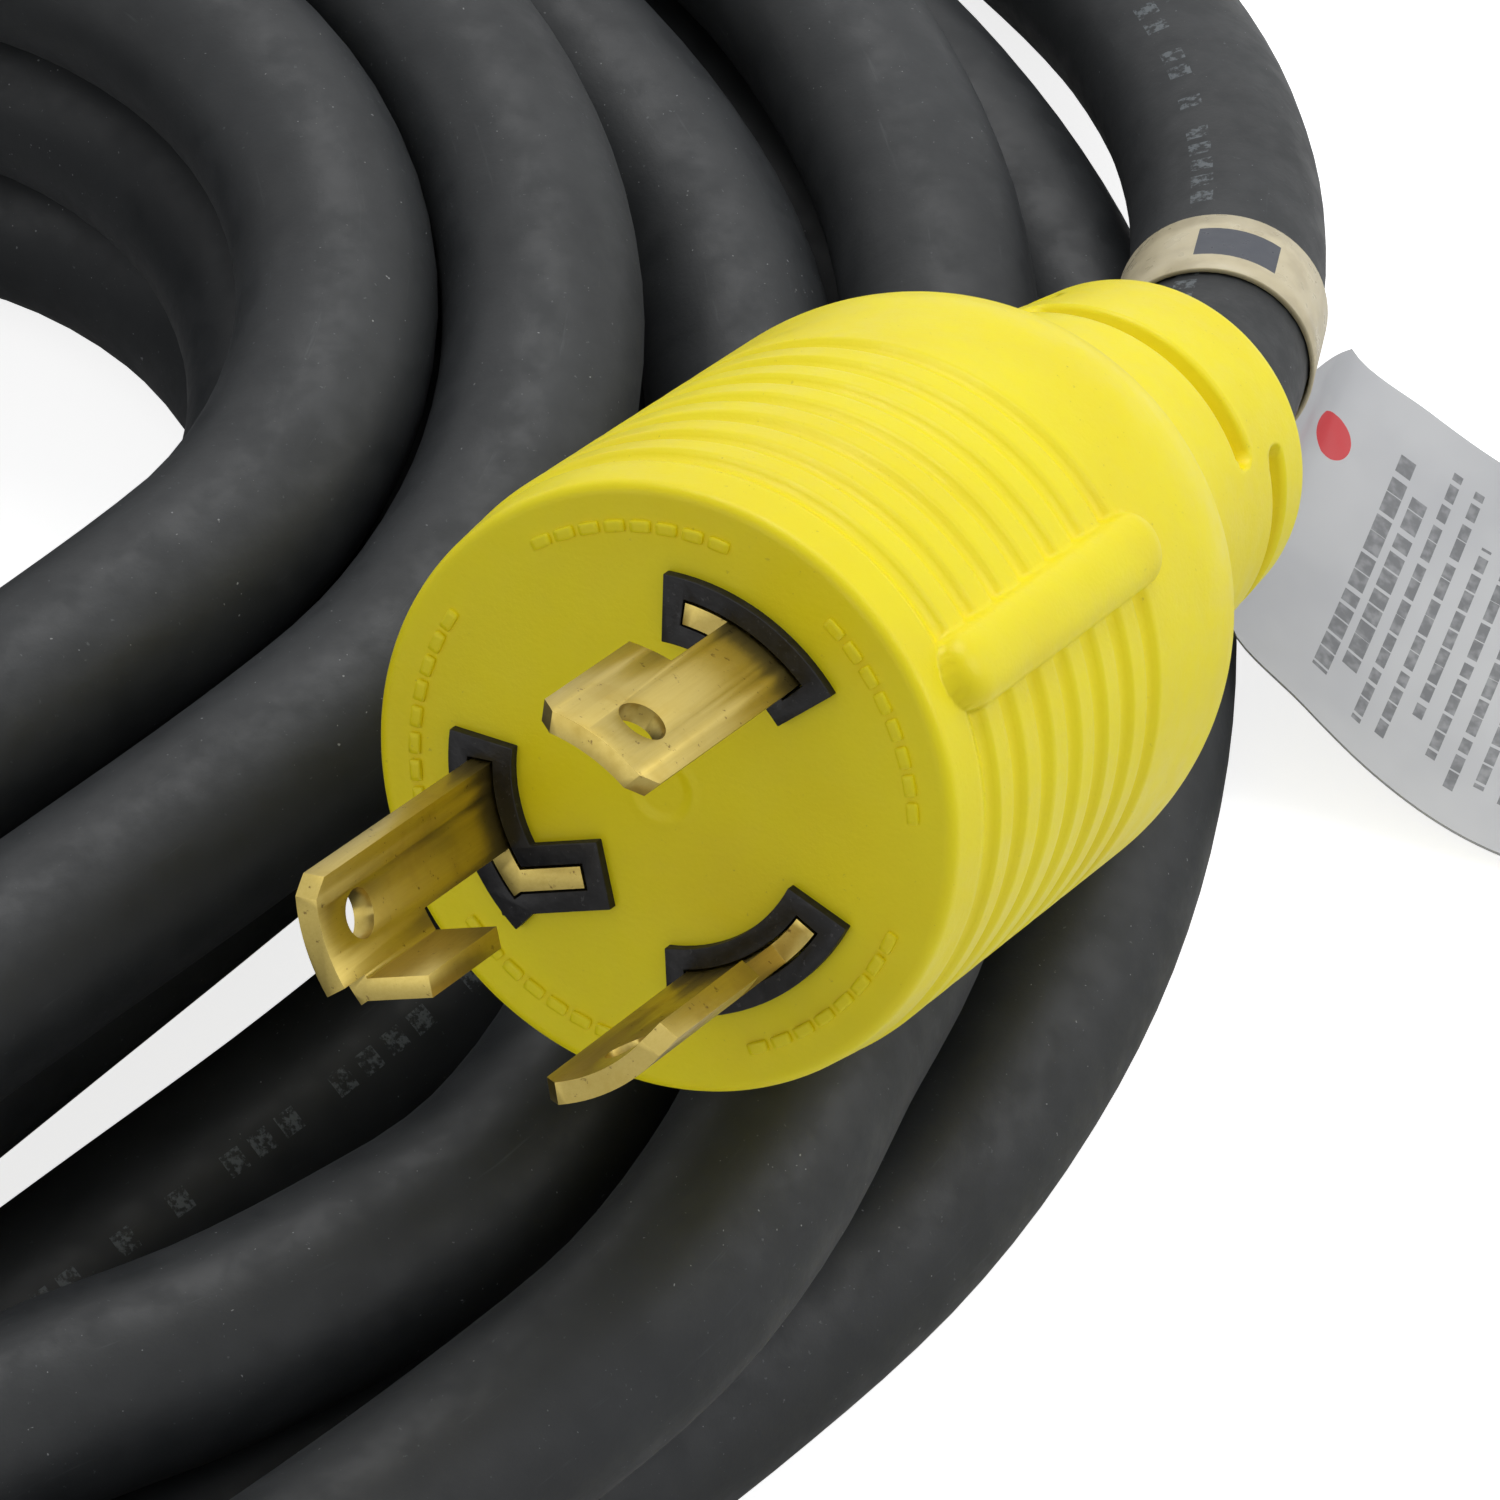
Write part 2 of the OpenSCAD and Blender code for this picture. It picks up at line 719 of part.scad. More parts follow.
module connector_grip_ring() { color("#9a9a9a") at_connector() grip_ring(conn_len); }
module connector_jacket_end() { color("#262626") at_connector() jacket_end(conn_len, conn_angles); }

// ---------- cable ----------
// Oval ring: round ends about a and b, straight runs between, a 2-D section as child
module oval(a, b) {
  d = b - a;
  run = norm(d);
  translate([a[0], a[1], 0])
    rotate([0, 0, atan2(d[1], d[0])]) {
      rotate([0, 0, 90]) rotate_extrude(angle = 180, $fn = 96) children();
      translate([run, 0, 0]) rotate([0, 0, -90]) rotate_extrude(angle = 180, $fn = 96) children();
      rotate([90, 0, 90]) linear_extrude(run) children();
      mirror([0, 1, 0]) rotate([90, 0, 90]) linear_extrude(run) children();
    }
}

// Section of a row of turns side by side: centres from r0 to r1 at height z
module row(r0, r1, z) {
  translate([r0, z - cable_r]) square([r1 - r0, cable_d]);
  translate([r0, z]) circle(r = cable_r, $fn = 48);
  translate([r1, z]) circle(r = cable_r, $fn = 48);
}

// Room under the coil for the tie
module tie_path() {
  translate([base_b[0], base_b[1], -1])
    rotate([0, 0, coil_angle])
      translate([0, -tie_w / 2 - tie_gap, 0])
        cube([base_out + 2 * cable_d, tie_w + 2 * tie_gap, 1 + tie_t + tie_gap]);
}

module coil_base() {
  color("#2b2b2b") at_coil()
    difference() {
      oval([0, 0], base_b) row(base_in, base_out, z1);
      tie_path();
    }
}

module coil_upper() {
  color("#2b2b2b") at_coil()
    oval(upper_a, upper_b)
      difference() {
        row(upper_in, upper_out, z2 + 0.1);
        square([2 * upper_out, cable_d + 0.1]);
      }
}

module coil_inner() {
  turns = [[inner_floor, z1], [inner_mid, z2], [high_out, z3], [hole_r, z3], [hole_r, z2]];
  color("#2b2b2b") at_coil()
    difference() {
      oval([0, 0], base_b) {
        polygon(turns);
        for (t = turns) translate(t) circle(r = cable_r, $fn = 48);
      }
      tie_path();
    }
}

module cable_lead() {
  last = len(LEAD) - 1;
  color("#2b2b2b") at_coil() swept(LEAD, -plug_axis, unit(LEAD[last] - LEAD[last - 1]));
}

module cable_tail() { color("#2b2b2b") at_coil() swept(TAIL, unit(TAIL[1] - TAIL[0]), conn_axis); }

// Strap of the flag tag, wrapped round the straight stretch of the lead
module label_strap() {
  mid = (LEAD[2] + LEAD[3]) / 2;
  half = unit(LEAD[3] - LEAD[2]) * strap_w / 2;
  color("#c9b98f") at_coil()
    difference() {
      bar(mid - half, mid + half, cable_r + strap_gap + strap_t);
      bar(mid - 1.2 * half, mid + 1.2 * half, cable_r + strap_gap);
    }
}

// One cross-section of the tag: its middle, and half its width as a vector
function tag_ring(m, h) = [
  m - h - [0, 0, tag_t / 2], m + h - [0, 0, tag_t / 2],
  m + h + [0, 0, tag_t / 2], m - h + [0, 0, tag_t / 2]
];

// Flag tag: flares out of the strap, drops to the floor and lies on it
module flag_tag() {
  across = tag_w / 2 * [0.342, 0.94, 0];
  rings = [
    tag_ring(TAG[0], [0.9, 4.6, -1.7]),
    tag_ring(TAG[1], across * 0.65),
    for (i = [2 : len(TAG) - 1]) tag_ring(TAG[i], across)
  ];
  color("white") at_coil() skin(rings);
}

// Angle of the outward normal of a run from a to b, going clockwise round the bundle
function outward(a, b) = atan2(b[0] - a[0], a[1] - b[1]);

// Corner of the tie bent round a turn at c, from normal n0 to n1 in k bends
function tie_bend(c, n0, n1, r, k = 1) =
  let (step = (n1 - n0) / k)
  [for (i = [0 : k - 1])
    c + r / cos(step / 2) * [cos(n0 + (i + 0.5) * step), sin(n0 + (i + 0.5) * step)]];

// Outline of the tie round the bundle, g outside its inner face
module tie_outline(g) {
  r = cable_r + tie_gap + g;
  hole_in = hole_r - cable_r;
  in_top = [hole_r + sqrt(hole_in * hole_in - tie_w * tie_w / 4) - hole_in, z3];
  out_top = [high_out, z3];
  out_mid = [upper_out + upper_shift, z2 + 0.1];
  out_low = [base_out, z1];
  n_top = outward(out_top, out_mid);
  n_out = outward(out_mid, out_low);
  polygon(concat(
    [[in_top[0] - r, tie_t - g]],
    tie_bend(in_top, 180, 90, r, 2),
    tie_bend(out_top, 90, n_top, r),
    tie_bend(out_mid, n_top, n_out, r),
    tie_bend(out_low, n_out, 0, r),
    [out_low + [r, -0.42 * r], [out_low[0] + 0.66 * r, tie_t - g]]
  ));
}

// Hook-and-loop tie round the far side of the coil
module coil_tie() {
  color("#1c1c1c") at_coil()
    translate([base_b[0], base_b[1], 0])
      rotate([0, 0, coil_angle])
        translate([0, tie_w / 2, 0])
          rotate([90, 0, 0])
            linear_extrude(tie_w)
              difference() {
                tie_outline(tie_t);
                tie_outline(0);
              }
}

plug_body();
plug_carrier();
blade_line_a();
blade_line_b();
blade_ground();
plug_crimps();
plug_bridge();
plug_wire_a();
plug_wire_b();
plug_wire_ground();
plug_copper();
plug_grip_ring();
plug_jacket_end();
connector_body();
connector_insert();
connector_back();
contact_line_a();
contact_line_b();
contact_ground();
connector_crimps();
connector_wire_a();
connector_wire_b();
connector_wire_ground();
connector_copper();
connector_grip_ring();
connector_jacket_end();
cable_lead();
coil_base();
coil_upper();
coil_inner();
cable_tail();
label_strap();
flag_tag();
coil_tie();
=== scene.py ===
# Shore power cord: the looks of the moulded plug, the connector, the coiled cable,
# its label and its tie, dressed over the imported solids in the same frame, in metres.
import json
from math import cos, pi, radians, sin

import bmesh
import bpy
import numpy as np
from mathutils import Matrix, Vector

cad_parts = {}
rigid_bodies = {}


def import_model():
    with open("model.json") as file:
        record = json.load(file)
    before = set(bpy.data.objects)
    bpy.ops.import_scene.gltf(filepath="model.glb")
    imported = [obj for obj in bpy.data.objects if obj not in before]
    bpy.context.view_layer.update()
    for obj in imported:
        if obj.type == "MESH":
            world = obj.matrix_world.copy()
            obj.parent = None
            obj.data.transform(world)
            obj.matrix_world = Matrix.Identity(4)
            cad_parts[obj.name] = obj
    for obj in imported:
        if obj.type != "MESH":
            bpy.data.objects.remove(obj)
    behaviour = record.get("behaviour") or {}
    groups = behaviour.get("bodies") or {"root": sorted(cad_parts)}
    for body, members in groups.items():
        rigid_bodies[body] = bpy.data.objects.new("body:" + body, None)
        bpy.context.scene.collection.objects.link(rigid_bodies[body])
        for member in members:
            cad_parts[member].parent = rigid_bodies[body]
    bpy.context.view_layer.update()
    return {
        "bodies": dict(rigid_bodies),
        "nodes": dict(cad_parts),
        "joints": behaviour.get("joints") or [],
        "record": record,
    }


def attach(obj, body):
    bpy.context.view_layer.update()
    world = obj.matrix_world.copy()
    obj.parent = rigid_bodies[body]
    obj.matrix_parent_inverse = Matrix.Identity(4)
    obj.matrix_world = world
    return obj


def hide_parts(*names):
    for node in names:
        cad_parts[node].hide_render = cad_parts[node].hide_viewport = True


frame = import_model()

# ---------- sizes and places ----------
CABLE_D = 0.0175
CABLE_R = CABLE_D / 2
COIL_CENTRE = np.array([0.0386, -0.0263, 0.0])

FACE_R = 0.025
GRIP_R = 0.02575
PLUG_GRIP = 0.0475
SHOULDER_R = 0.0222
SHOULDER_ARC = radians(47)
NECK = 0.0285
NECK_END_R = 0.0153
NECK_STEP = 0.0008
CONN_R = 0.027
CONN_GRIP = 0.053
SHOULDER_RUN = SHOULDER_R * sin(SHOULDER_ARC)
PLUG_LEN = PLUG_GRIP + SHOULDER_RUN + NECK
CONN_LEN = CONN_GRIP + SHOULDER_RUN + NECK

# Middle of the plug's face, from the coil's centre, and the turns that set the plug there
PLUG_FACE = Vector((0.0742, -0.080, 0.080))
PLUG_HEADING, PLUG_TILT, PLUG_ROLL = radians(-119.3), radians(63.8), radians(108.6)
PLUG_FRAME = (
    Matrix.Translation(PLUG_FACE + Vector(COIL_CENTRE))
    @ Matrix.Rotation(PLUG_HEADING, 4, "Z")
    @ Matrix.Rotation(PLUG_TILT, 4, "Y")
    @ Matrix.Rotation(PLUG_ROLL, 4, "Z")
)
# The connector lies level on the floor, at the cable's far end
CONN_HEADING = radians(185)
CONN_AXIS = Vector((cos(CONN_HEADING), sin(CONN_HEADING), 0))
CONN_NECK = COIL_CENTRE + np.array([-0.105, 0.140, CONN_R])
CONN_FRAME = (
    Matrix.Translation(Vector(CONN_NECK) + CONN_LEN * CONN_AXIS)
    @ Matrix.Rotation(CONN_HEADING, 4, "Z")
    @ Matrix.Rotation(radians(90), 4, "Y")
    @ Matrix.Rotation(radians(90), 4, "Z")
)

# ---------- camera ----------
camera_data = bpy.data.cameras.new("camera")
camera = bpy.data.objects.new("camera", camera_data)
bpy.context.scene.collection.objects.link(camera)
camera.location = (0.11963, -0.60265, 0.67651)
camera.rotation_euler = (radians(40), 0, 0)
camera_data.lens = 240
camera_data.sensor_width = 36
camera_data.clip_start = 0.01
bpy.context.scene.camera = camera


# ---------- meshes and lines ----------
# Corners of a grid's face, as steps from its first one: rings on, points round
CORNERS = ((0, 0), (0, 1), (1, 1), (1, 0))


def new_object(data, smooth=True):
    piece = bpy.data.objects.new(data.name, data)
    bpy.context.scene.collection.objects.link(piece)
    if smooth:
        data.shade_smooth()
    return piece


def worked_out(rough, name):
    """Mesh of a rough object with its modifiers applied; the rough object goes."""
    graph = bpy.context.evaluated_depsgraph_get()
    made = bpy.data.meshes.new_from_object(rough.evaluated_get(graph))
    bpy.data.objects.remove(rough)
    made.name = name
    return made


def grid_mesh(name, rings, caps=(False, False)):
    """Mesh through a stack of closed rings, an array of shape rings x points x 3."""
    count, around, _ = rings.shape
    faces = [
        tuple((i + di) * around + (k + dk) % around for di, dk in CORNERS)
        for i in range(count - 1) for k in range(around)
    ]
    if caps[0]:
        faces.append(tuple(range(around))[::-1])
    if caps[1]:
        faces.append(tuple(range((count - 1) * around, count * around)))
    mesh = bpy.data.meshes.new(name)
    mesh.from_pydata(rings.reshape(-1, 3).tolist(), [], faces)
    mesh.update()
    return mesh


def unwrap(mesh, name, around, spot):
    """UV map of a grid mesh, from a function that gives the spot of ring i and point k."""
    layer = mesh.uv_layers.new(name=name)
    for polygon in mesh.polygons:
        if len(polygon.vertices) > 4:
            continue
        i, k = divmod(polygon.index, around)
        for loop, (di, dk) in zip(polygon.loop_indices, CORNERS):
            layer.data[loop].uv = spot(i + di, k + dk)


def welded_piece(mesh):
    """Piece of a mesh whose seams are welded and whose faces are turned outwards."""
    work = bmesh.new()
    work.from_mesh(mesh)
    bmesh.ops.remove_doubles(work, verts=work.verts, dist=1e-6)
    bmesh.ops.recalc_face_normals(work, faces=work.faces)
    work.to_mesh(mesh)
    work.free()
    return new_object(mesh)


def smoothstep(t):
    t = np.clip(t, 0, 1)
    return t * t * (3 - 2 * t)


def soft_max(a, b, k):
    """The larger of two heights with a fillet of about k where they meet."""
    h = np.clip(0.5 + 0.5 * (a - b) / k, 0, 1)
    return b + (a - b) * h + k * h * (1 - h)


def rounding(radius, along):
    """Fall of an edge rounded to a radius, this far along from where it starts."""
    return radius - np.sqrt(radius ** 2 - along ** 2)


def turned_from(centre, angle):
    """Angle from a centre line, within half a turn either way."""
    return (angle - centre + pi) % (2 * pi) - pi


def heading(angle):
    return np.array([cos(angle), sin(angle)])


def unit(vectors):
    return vectors / np.linalg.norm(vectors, axis=-1, keepdims=True)


def side_and_up(along):
    """Level side and upright up of directions of length one."""
    side = unit(np.cross([0, 0, 1.0], along))
    return side, np.cross(along, side)


def walked_along(points):
    """Distance walked along a line, at each of its points."""
    return np.r_[0, np.cumsum(np.linalg.norm(np.diff(points, axis=0), axis=1))]


def read_at(marks, walked, rows):
    """Rows given at the walked distances, read off at the marks."""
    return np.stack([np.interp(marks, walked, column) for column in rows.T], axis=1)


# ---------- the cable's route ----------
# Lead: out of the plug's neck, down to the floor and round the coil's back
LEAD = [
    (0.1185, 0.0, 0.035), (0.121, 0.0096, 0.0306), (0.1227, 0.0195, 0.027), (0.1236, 0.03, 0.0236),
    (0.1232, 0.043, 0.0194), (0.121, 0.056, 0.0156), (0.1164, 0.069, 0.0126), (0.1086, 0.0825, 0.0104),
    (0.097, 0.097, 0.0092), (0.08, 0.1105, CABLE_R), (0.058, 0.122, CABLE_R), (0.034, 0.13, CABLE_R),
    (0.009, 0.1335, CABLE_R), (-0.016, 0.1328, CABLE_R), (-0.041, 0.1278, CABLE_R),
]
# Tail: off the coil's shoulder, over the lead and into the connector
TAIL = [
    (0.002, 0.1106, 0.0268), (-0.016, 0.1123, 0.0272), (-0.033, 0.1166, 0.0275),
    (-0.049, 0.1235, 0.0275), (-0.065, 0.131, 0.0273), (-0.082, 0.137, 0.0271), (-0.105, 0.14, CONN_R),
]
# Turns in the order they were laid: radius, height and shift of the near round end
TURNS = [
    (0.133, CABLE_R, (0, 0)), (0.1152, CABLE_R, (0, 0)), (0.0975, CABLE_R, (0, 0)),
    (0.074, CABLE_R, (-0.004, 0.001)), (0.0468, CABLE_R, (-0.004, 0.006)),
    (0.0455, 0.0255, (-0.005, 0.008)), (0.047, 0.0425, (-0.0008, 0.0057)),
    (0.0652, 0.0412, (-0.0026, 0.0018)), (0.063, 0.024, (-0.005, 0.008)),
    (0.092, 0.0235, (-0.007, -0.003)), (0.105, 0.0245, (-0.006, -0.008)), (0.117, 0.026, (0, 0)),
]
# Stretch of each turn, behind the coil, in which the cable moves on to the next place
MOVE = (0.36, 0.64)
# Stretch in which it swings out to its last turn
SWING = (0.78, 0.95)
# Turn before the last, where it lies across the others in front: azimuth, radius, height
CROSSING = [
    (-98, 0.1429, 0.0255), (-91.8, 0.1266, 0.0255), (-84.9, 0.1124, 0.0257), (-76.8, 0.1043, 0.026),
    (-67.4, 0.1016, 0.026), (-59.7, 0.1, 0.026), (-52.4, 0.099, 0.026), (-44.6, 0.0958, 0.0258),
    (-37, 0.092, 0.0255), (-29, 0.089, 0.025), (-20, 0.0868, 0.0245), (-9.3, 0.0853, 0.024),
]
# Fractions of the two turns it joins, where it leaves the one and meets the other
CROSSING_FROM, CROSSING_TO = 0.855, 0.12
# Last turn, lying on the others and under the plug's neck: azimuth, radius, height
LAST_TURN = [
    (-52, 0.1172, 0.0285), (-45, 0.113, 0.0292), (-38, 0.108, 0.0285), (-29, 0.1038, 0.0252),
    (-18, 0.0998, 0.024), (-5, 0.0965, 0.024), (8, 0.0975, 0.024), (21, 0.1005, 0.024),
    (36, 0.1035, 0.0242), (50, 0.1055, 0.0245), (64, 0.1075, 0.0252), (77, 0.1098, 0.026),
]
# Straight run from the coil's near round end to the far one, and the way it points
COIL_RUN = 0.105
COIL_ANGLE = radians(222)
RUN_DIR = heading(COIL_ANGLE)
SIDE_DIR = np.array([-sin(COIL_ANGLE), cos(COIL_ANGLE)])
SIDE_ANGLE = COIL_ANGLE - pi / 2
# Fractions of a turn at which its back run, its far round end and its front run start
BACK, FAR, FRONT = 0.40, 0.52, 0.88
ARC_STEPS = 14
RUN_STEPS = 4
# How far the cable runs inside the necks, and how firmly laid points keep their places
IN_NECK = 0.004
FIXED, GUIDED, LOOSE, FREE = 1.0, 0.5, 0.3, 0.0
FIXED_START = 12
FIXED_END = 3
# Fraction of the first turn where the lead joins it, and of each turn held loosely
LEAD_JOINS = 0.37
LOOSE_TO = 0.30
# Distance between the points of the route as it settles, and of the finished cable
ROUTE_STEP = 0.006
CABLE_STEP = 0.0042
SETTLE_ROUNDS = 140
# Rounds between searches for neighbours, and how many points apart these are at least
SEARCH_EVERY = 10
POINTS_APART = 14
# Tie round the bundle at the far round end
TIE_WIDTH = 0.020
TIE_THICK = 0.0017
TIE_GAP = 0.00015
TIE_ROOM = TIE_THICK + 2 * TIE_GAP


def turn_point(k, f, move=MOVE):
    """Point at fraction f of turn k: near round end, back run, far round end, front run."""
    here, beyond = TURNS[k], TURNS[k + 1]
    t = smoothstep((f - move[0]) / (move[1] - move[0]))
    radius = here[0] + (beyond[0] - here[0]) * t
    height = here[1] + (beyond[1] - here[1]) * t
    near = np.array(here[2]) * (1 - t) + np.array(beyond[2]) * t
    far = COIL_RUN * RUN_DIR
    if f < BACK:
        flat = near + radius * heading(SIDE_ANGLE - pi + pi * f / BACK)
    elif f < FAR:
        u = (f - BACK) / (FAR - BACK)
        flat = near * (1 - u) + far * u + radius * heading(SIDE_ANGLE)
    elif f < FRONT:
        flat = far + radius * heading(SIDE_ANGLE + pi * (f - FAR) / (FRONT - FAR))
    else:
        u = (f - FRONT) / (1 - FRONT)
        flat = far * (1 - u) + near * u - radius * heading(SIDE_ANGLE)
    return [*flat, height]


def turn_fractions():
    bounds, counts = (0, BACK, FAR, FRONT, 1), (ARC_STEPS, RUN_STEPS) * 2
    parts = zip(bounds, bounds[1:], counts)
    return [start + (end - start) * i / count for start, end, count in parts for i in range(count)]


def round_coil(rows):
    """Points from rows of azimuth in degrees, radius and height."""
    return [[*(radius * heading(radians(azimuth))), height] for azimuth, radius, height in rows]


def laid_route():
    """The whole route as laid, and how firmly each point keeps its place, 0 to 1."""
    neck = PLUG_FRAME @ Vector((0, 0, -PLUG_LEN + IN_NECK)) - Vector(COIL_CENTRE)
    mouth = PLUG_FRAME @ Vector((0, 0, -PLUG_LEN)) - Vector(COIL_CENTRE)
    points = [list(neck), list(mouth)] + [list(p) for p in LEAD]
    firm = [FIXED] * FIXED_START + [LOOSE] * (len(points) - FIXED_START)
    last = len(TURNS) - 2
    for k in range(last):
        for f in turn_fractions():
            crosses = k == last - 2 and f > CROSSING_FROM or k == last - 1 and f < CROSSING_TO
            if crosses or k == 0 and f < LEAD_JOINS:
                continue
            swung = k == last - 1 and f >= SWING[0]
            points.append(turn_point(last, f, SWING) if swung else turn_point(k, f))
            firm.append(LOOSE if f < LOOSE_TO else FREE)
        if k == last - 2:
            points += round_coil(CROSSING)
            firm += [GUIDED] * len(CROSSING)
    points += round_coil(LAST_TURN) + [list(p) for p in TAIL]
    firm += [GUIDED] * len(LAST_TURN) + [LOOSE] * (len(TAIL) - FIXED_END) + [FIXED] * FIXED_END
    inside = CONN_FRAME @ Vector((0, 0, -CONN_LEN + IN_NECK)) - Vector(COIL_CENTRE)
    return np.array(points + [list(inside)]), np.array(firm + [FIXED])


def spaced(points, extra, step):
    """Points at an even step along a smooth curve through the given points."""
    gaps = np.sqrt(np.linalg.norm(np.diff(points, axis=0), axis=1))
    knots = np.r_[0, np.cumsum(gaps)]
    fine = []
    weight = []
    for i in range(len(points) - 1):
        p0 = points[max(i - 1, 0)]
        p1, p2 = points[i], points[i + 1]
        p3 = points[min(i + 2, len(points) - 1)]
        t1, t2 = knots[i], knots[i + 1]
        t0 = knots[i - 1] if i > 0 else t1 - (t2 - t1)
        t3 = knots[i + 2] if i + 2 < len(knots) else t2 + (t2 - t1)
        m1 = (p2 - p1) / (t2 - t1) - (p2 - p0) / (t2 - t0) + (p1 - p0) / (t1 - t0)
        m2 = (p3 - p2) / (t3 - t2) - (p3 - p1) / (t3 - t1) + (p2 - p1) / (t2 - t1)
        for u in np.arange(8) / 8:
            a, b = 2 * u ** 3 - 3 * u ** 2 + 1, u ** 3 - 2 * u ** 2 + u
            c, d = -2 * u ** 3 + 3 * u ** 2, u ** 3 - u ** 2
            fine.append(a * p1 + b * (t2 - t1) * m1 + c * p2 + d * (t2 - t1) * m2)
            weight.append(extra[i] * (1 - u) + extra[i + 1] * u)
    fine.append(points[-1])
    weight.append(extra[-1])
    fine = np.array(fine)
    walked = walked_along(fine)
    marks = np.linspace(0, walked[-1], int(round(walked[-1] / step)) + 1)
    return read_at(marks, walked, fine), np.interp(marks, walked, weight)


def across_tie(points):
    """Places of points from the far round end: outwards along the tie, and across it."""
    off = points[:, :2] - COIL_RUN * RUN_DIR
    return off @ RUN_DIR, off @ SIDE_DIR


def settled(laid, firm):
    """Turns pushed apart until they lie on and beside each other without cutting in."""
    shift = np.zeros_like(laid)
    out, across = across_tie(laid)
    lift = (out > 0) * (1 - smoothstep((np.abs(across) - 0.6 * TIE_WIDTH) / (1.5 * TIE_WIDTH)))
    floor_level = CABLE_R + TIE_ROOM * lift
    for step in range(SETTLE_ROUNDS):
        now = laid + shift
        if step % SEARCH_EVERY == 0:
            gap = np.linalg.norm(now[:, None] - now[None], axis=2)
            first, second = np.nonzero(np.triu(gap < 1.6 * CABLE_D, POINTS_APART))
        away = now[first] - now[second]
        length = np.linalg.norm(away, axis=1)
        short = np.clip(CABLE_D - length, 0, None) / np.maximum(length, 1e-6)
        push = away * (0.5 * short)[:, None]
        total = np.zeros_like(now)
        hits = np.full(len(now), 1e-9)
        for ends, way in ((first, push), (second, -push)):
            np.add.at(total, ends, way)
            np.add.at(hits, ends, short > 0)
        shift += 0.9 * total / np.maximum(hits, 1)[:, None] * (1 - 0.7 * firm)[:, None]
        for _ in range(3):
            shift[1:-1] = 0.5 * shift[1:-1] + 0.25 * (shift[:-2] + shift[2:])
            shift[firm > 0.95] = 0
        low = laid[:, 2] + shift[:, 2] < floor_level
        shift[low, 2] = floor_level[low] - laid[low, 2]
    return laid + shift


# Lay of the cores, faintly seen in the jacket, which stays just inside its full size
CORES = 3
LAY_LENGTH = 0.21
LAY_RISE = 0.00005
JACKET_UNDER = 0.00004


def cable_mesh(path, sides=32):
    """Round jacket with a faint lay of its cores, and its own UV map."""
    side, up = side_and_up(unit(np.gradient(path, axis=0)))
    walked = walked_along(path)
    angles = np.arange(sides) * 2 * pi / sides
    lay = LAY_RISE * np.cos(CORES * angles[None] - walked[:, None] * 2 * pi / LAY_LENGTH)
    radius = CABLE_R - JACKET_UNDER + lay
    rings = (
        path[:, None]
        + (radius * np.cos(angles))[:, :, None] * side[:, None]
        + (radius * np.sin(angles))[:, :, None] * up[:, None]
    )
    mesh = grid_mesh("cable", rings, caps=(True, True))
    unwrap(mesh, "jacket", sides, lambda i, k: (walked[i], k / sides))
    return mesh


even_route, even_firm = spaced(*laid_route(), ROUTE_STEP)
coil_path = settled(even_route, even_firm)
cable_path = spaced(coil_path, even_firm, CABLE_STEP)[0] + COIL_CENTRE
cable = new_object(cable_mesh(cable_path))


# ---------- finishes ----------
# Side of the jacket, in turns, on which the stamped line starts, and where it winds on
PRINT_SIDE = 0.20
PRINT_TURNS = ((0.12, 0.50, 0.50), (2.30, 2.48, 0.633), (2.62, 2.80, 0.367))
PRINT_CELLS = 330.0
# Middle of the strap's plain dark panel, in turns, and half its length
STRAP_PANEL = 0.2715
STRAP_PANEL_HALF = 0.064
# Along the tag: where its ruled rows start, how far apart they are, and its plain spot
TAG_PRINT_FROM = 0.0165
TAG_ROW = 0.0025
TAG_SPOT = (0.0100, 0.78)
TAG_SPOT_REACH = (0.0022, 0.055)


def feed(tree, node, inputs):
    """Sockets linked to a node's inputs, and plain values set on them."""
    for key, value in inputs.items():
        if isinstance(value, bpy.types.NodeSocket):
            tree.links.new(value, node.inputs[key])
        else:
            node.inputs[key].default_value = value


def new_node(tree, kind, inputs, **settings):
    node = tree.nodes.new(kind)
    for key, value in settings.items():
        setattr(node, key, value)
    feed(tree, node, inputs)
    return node


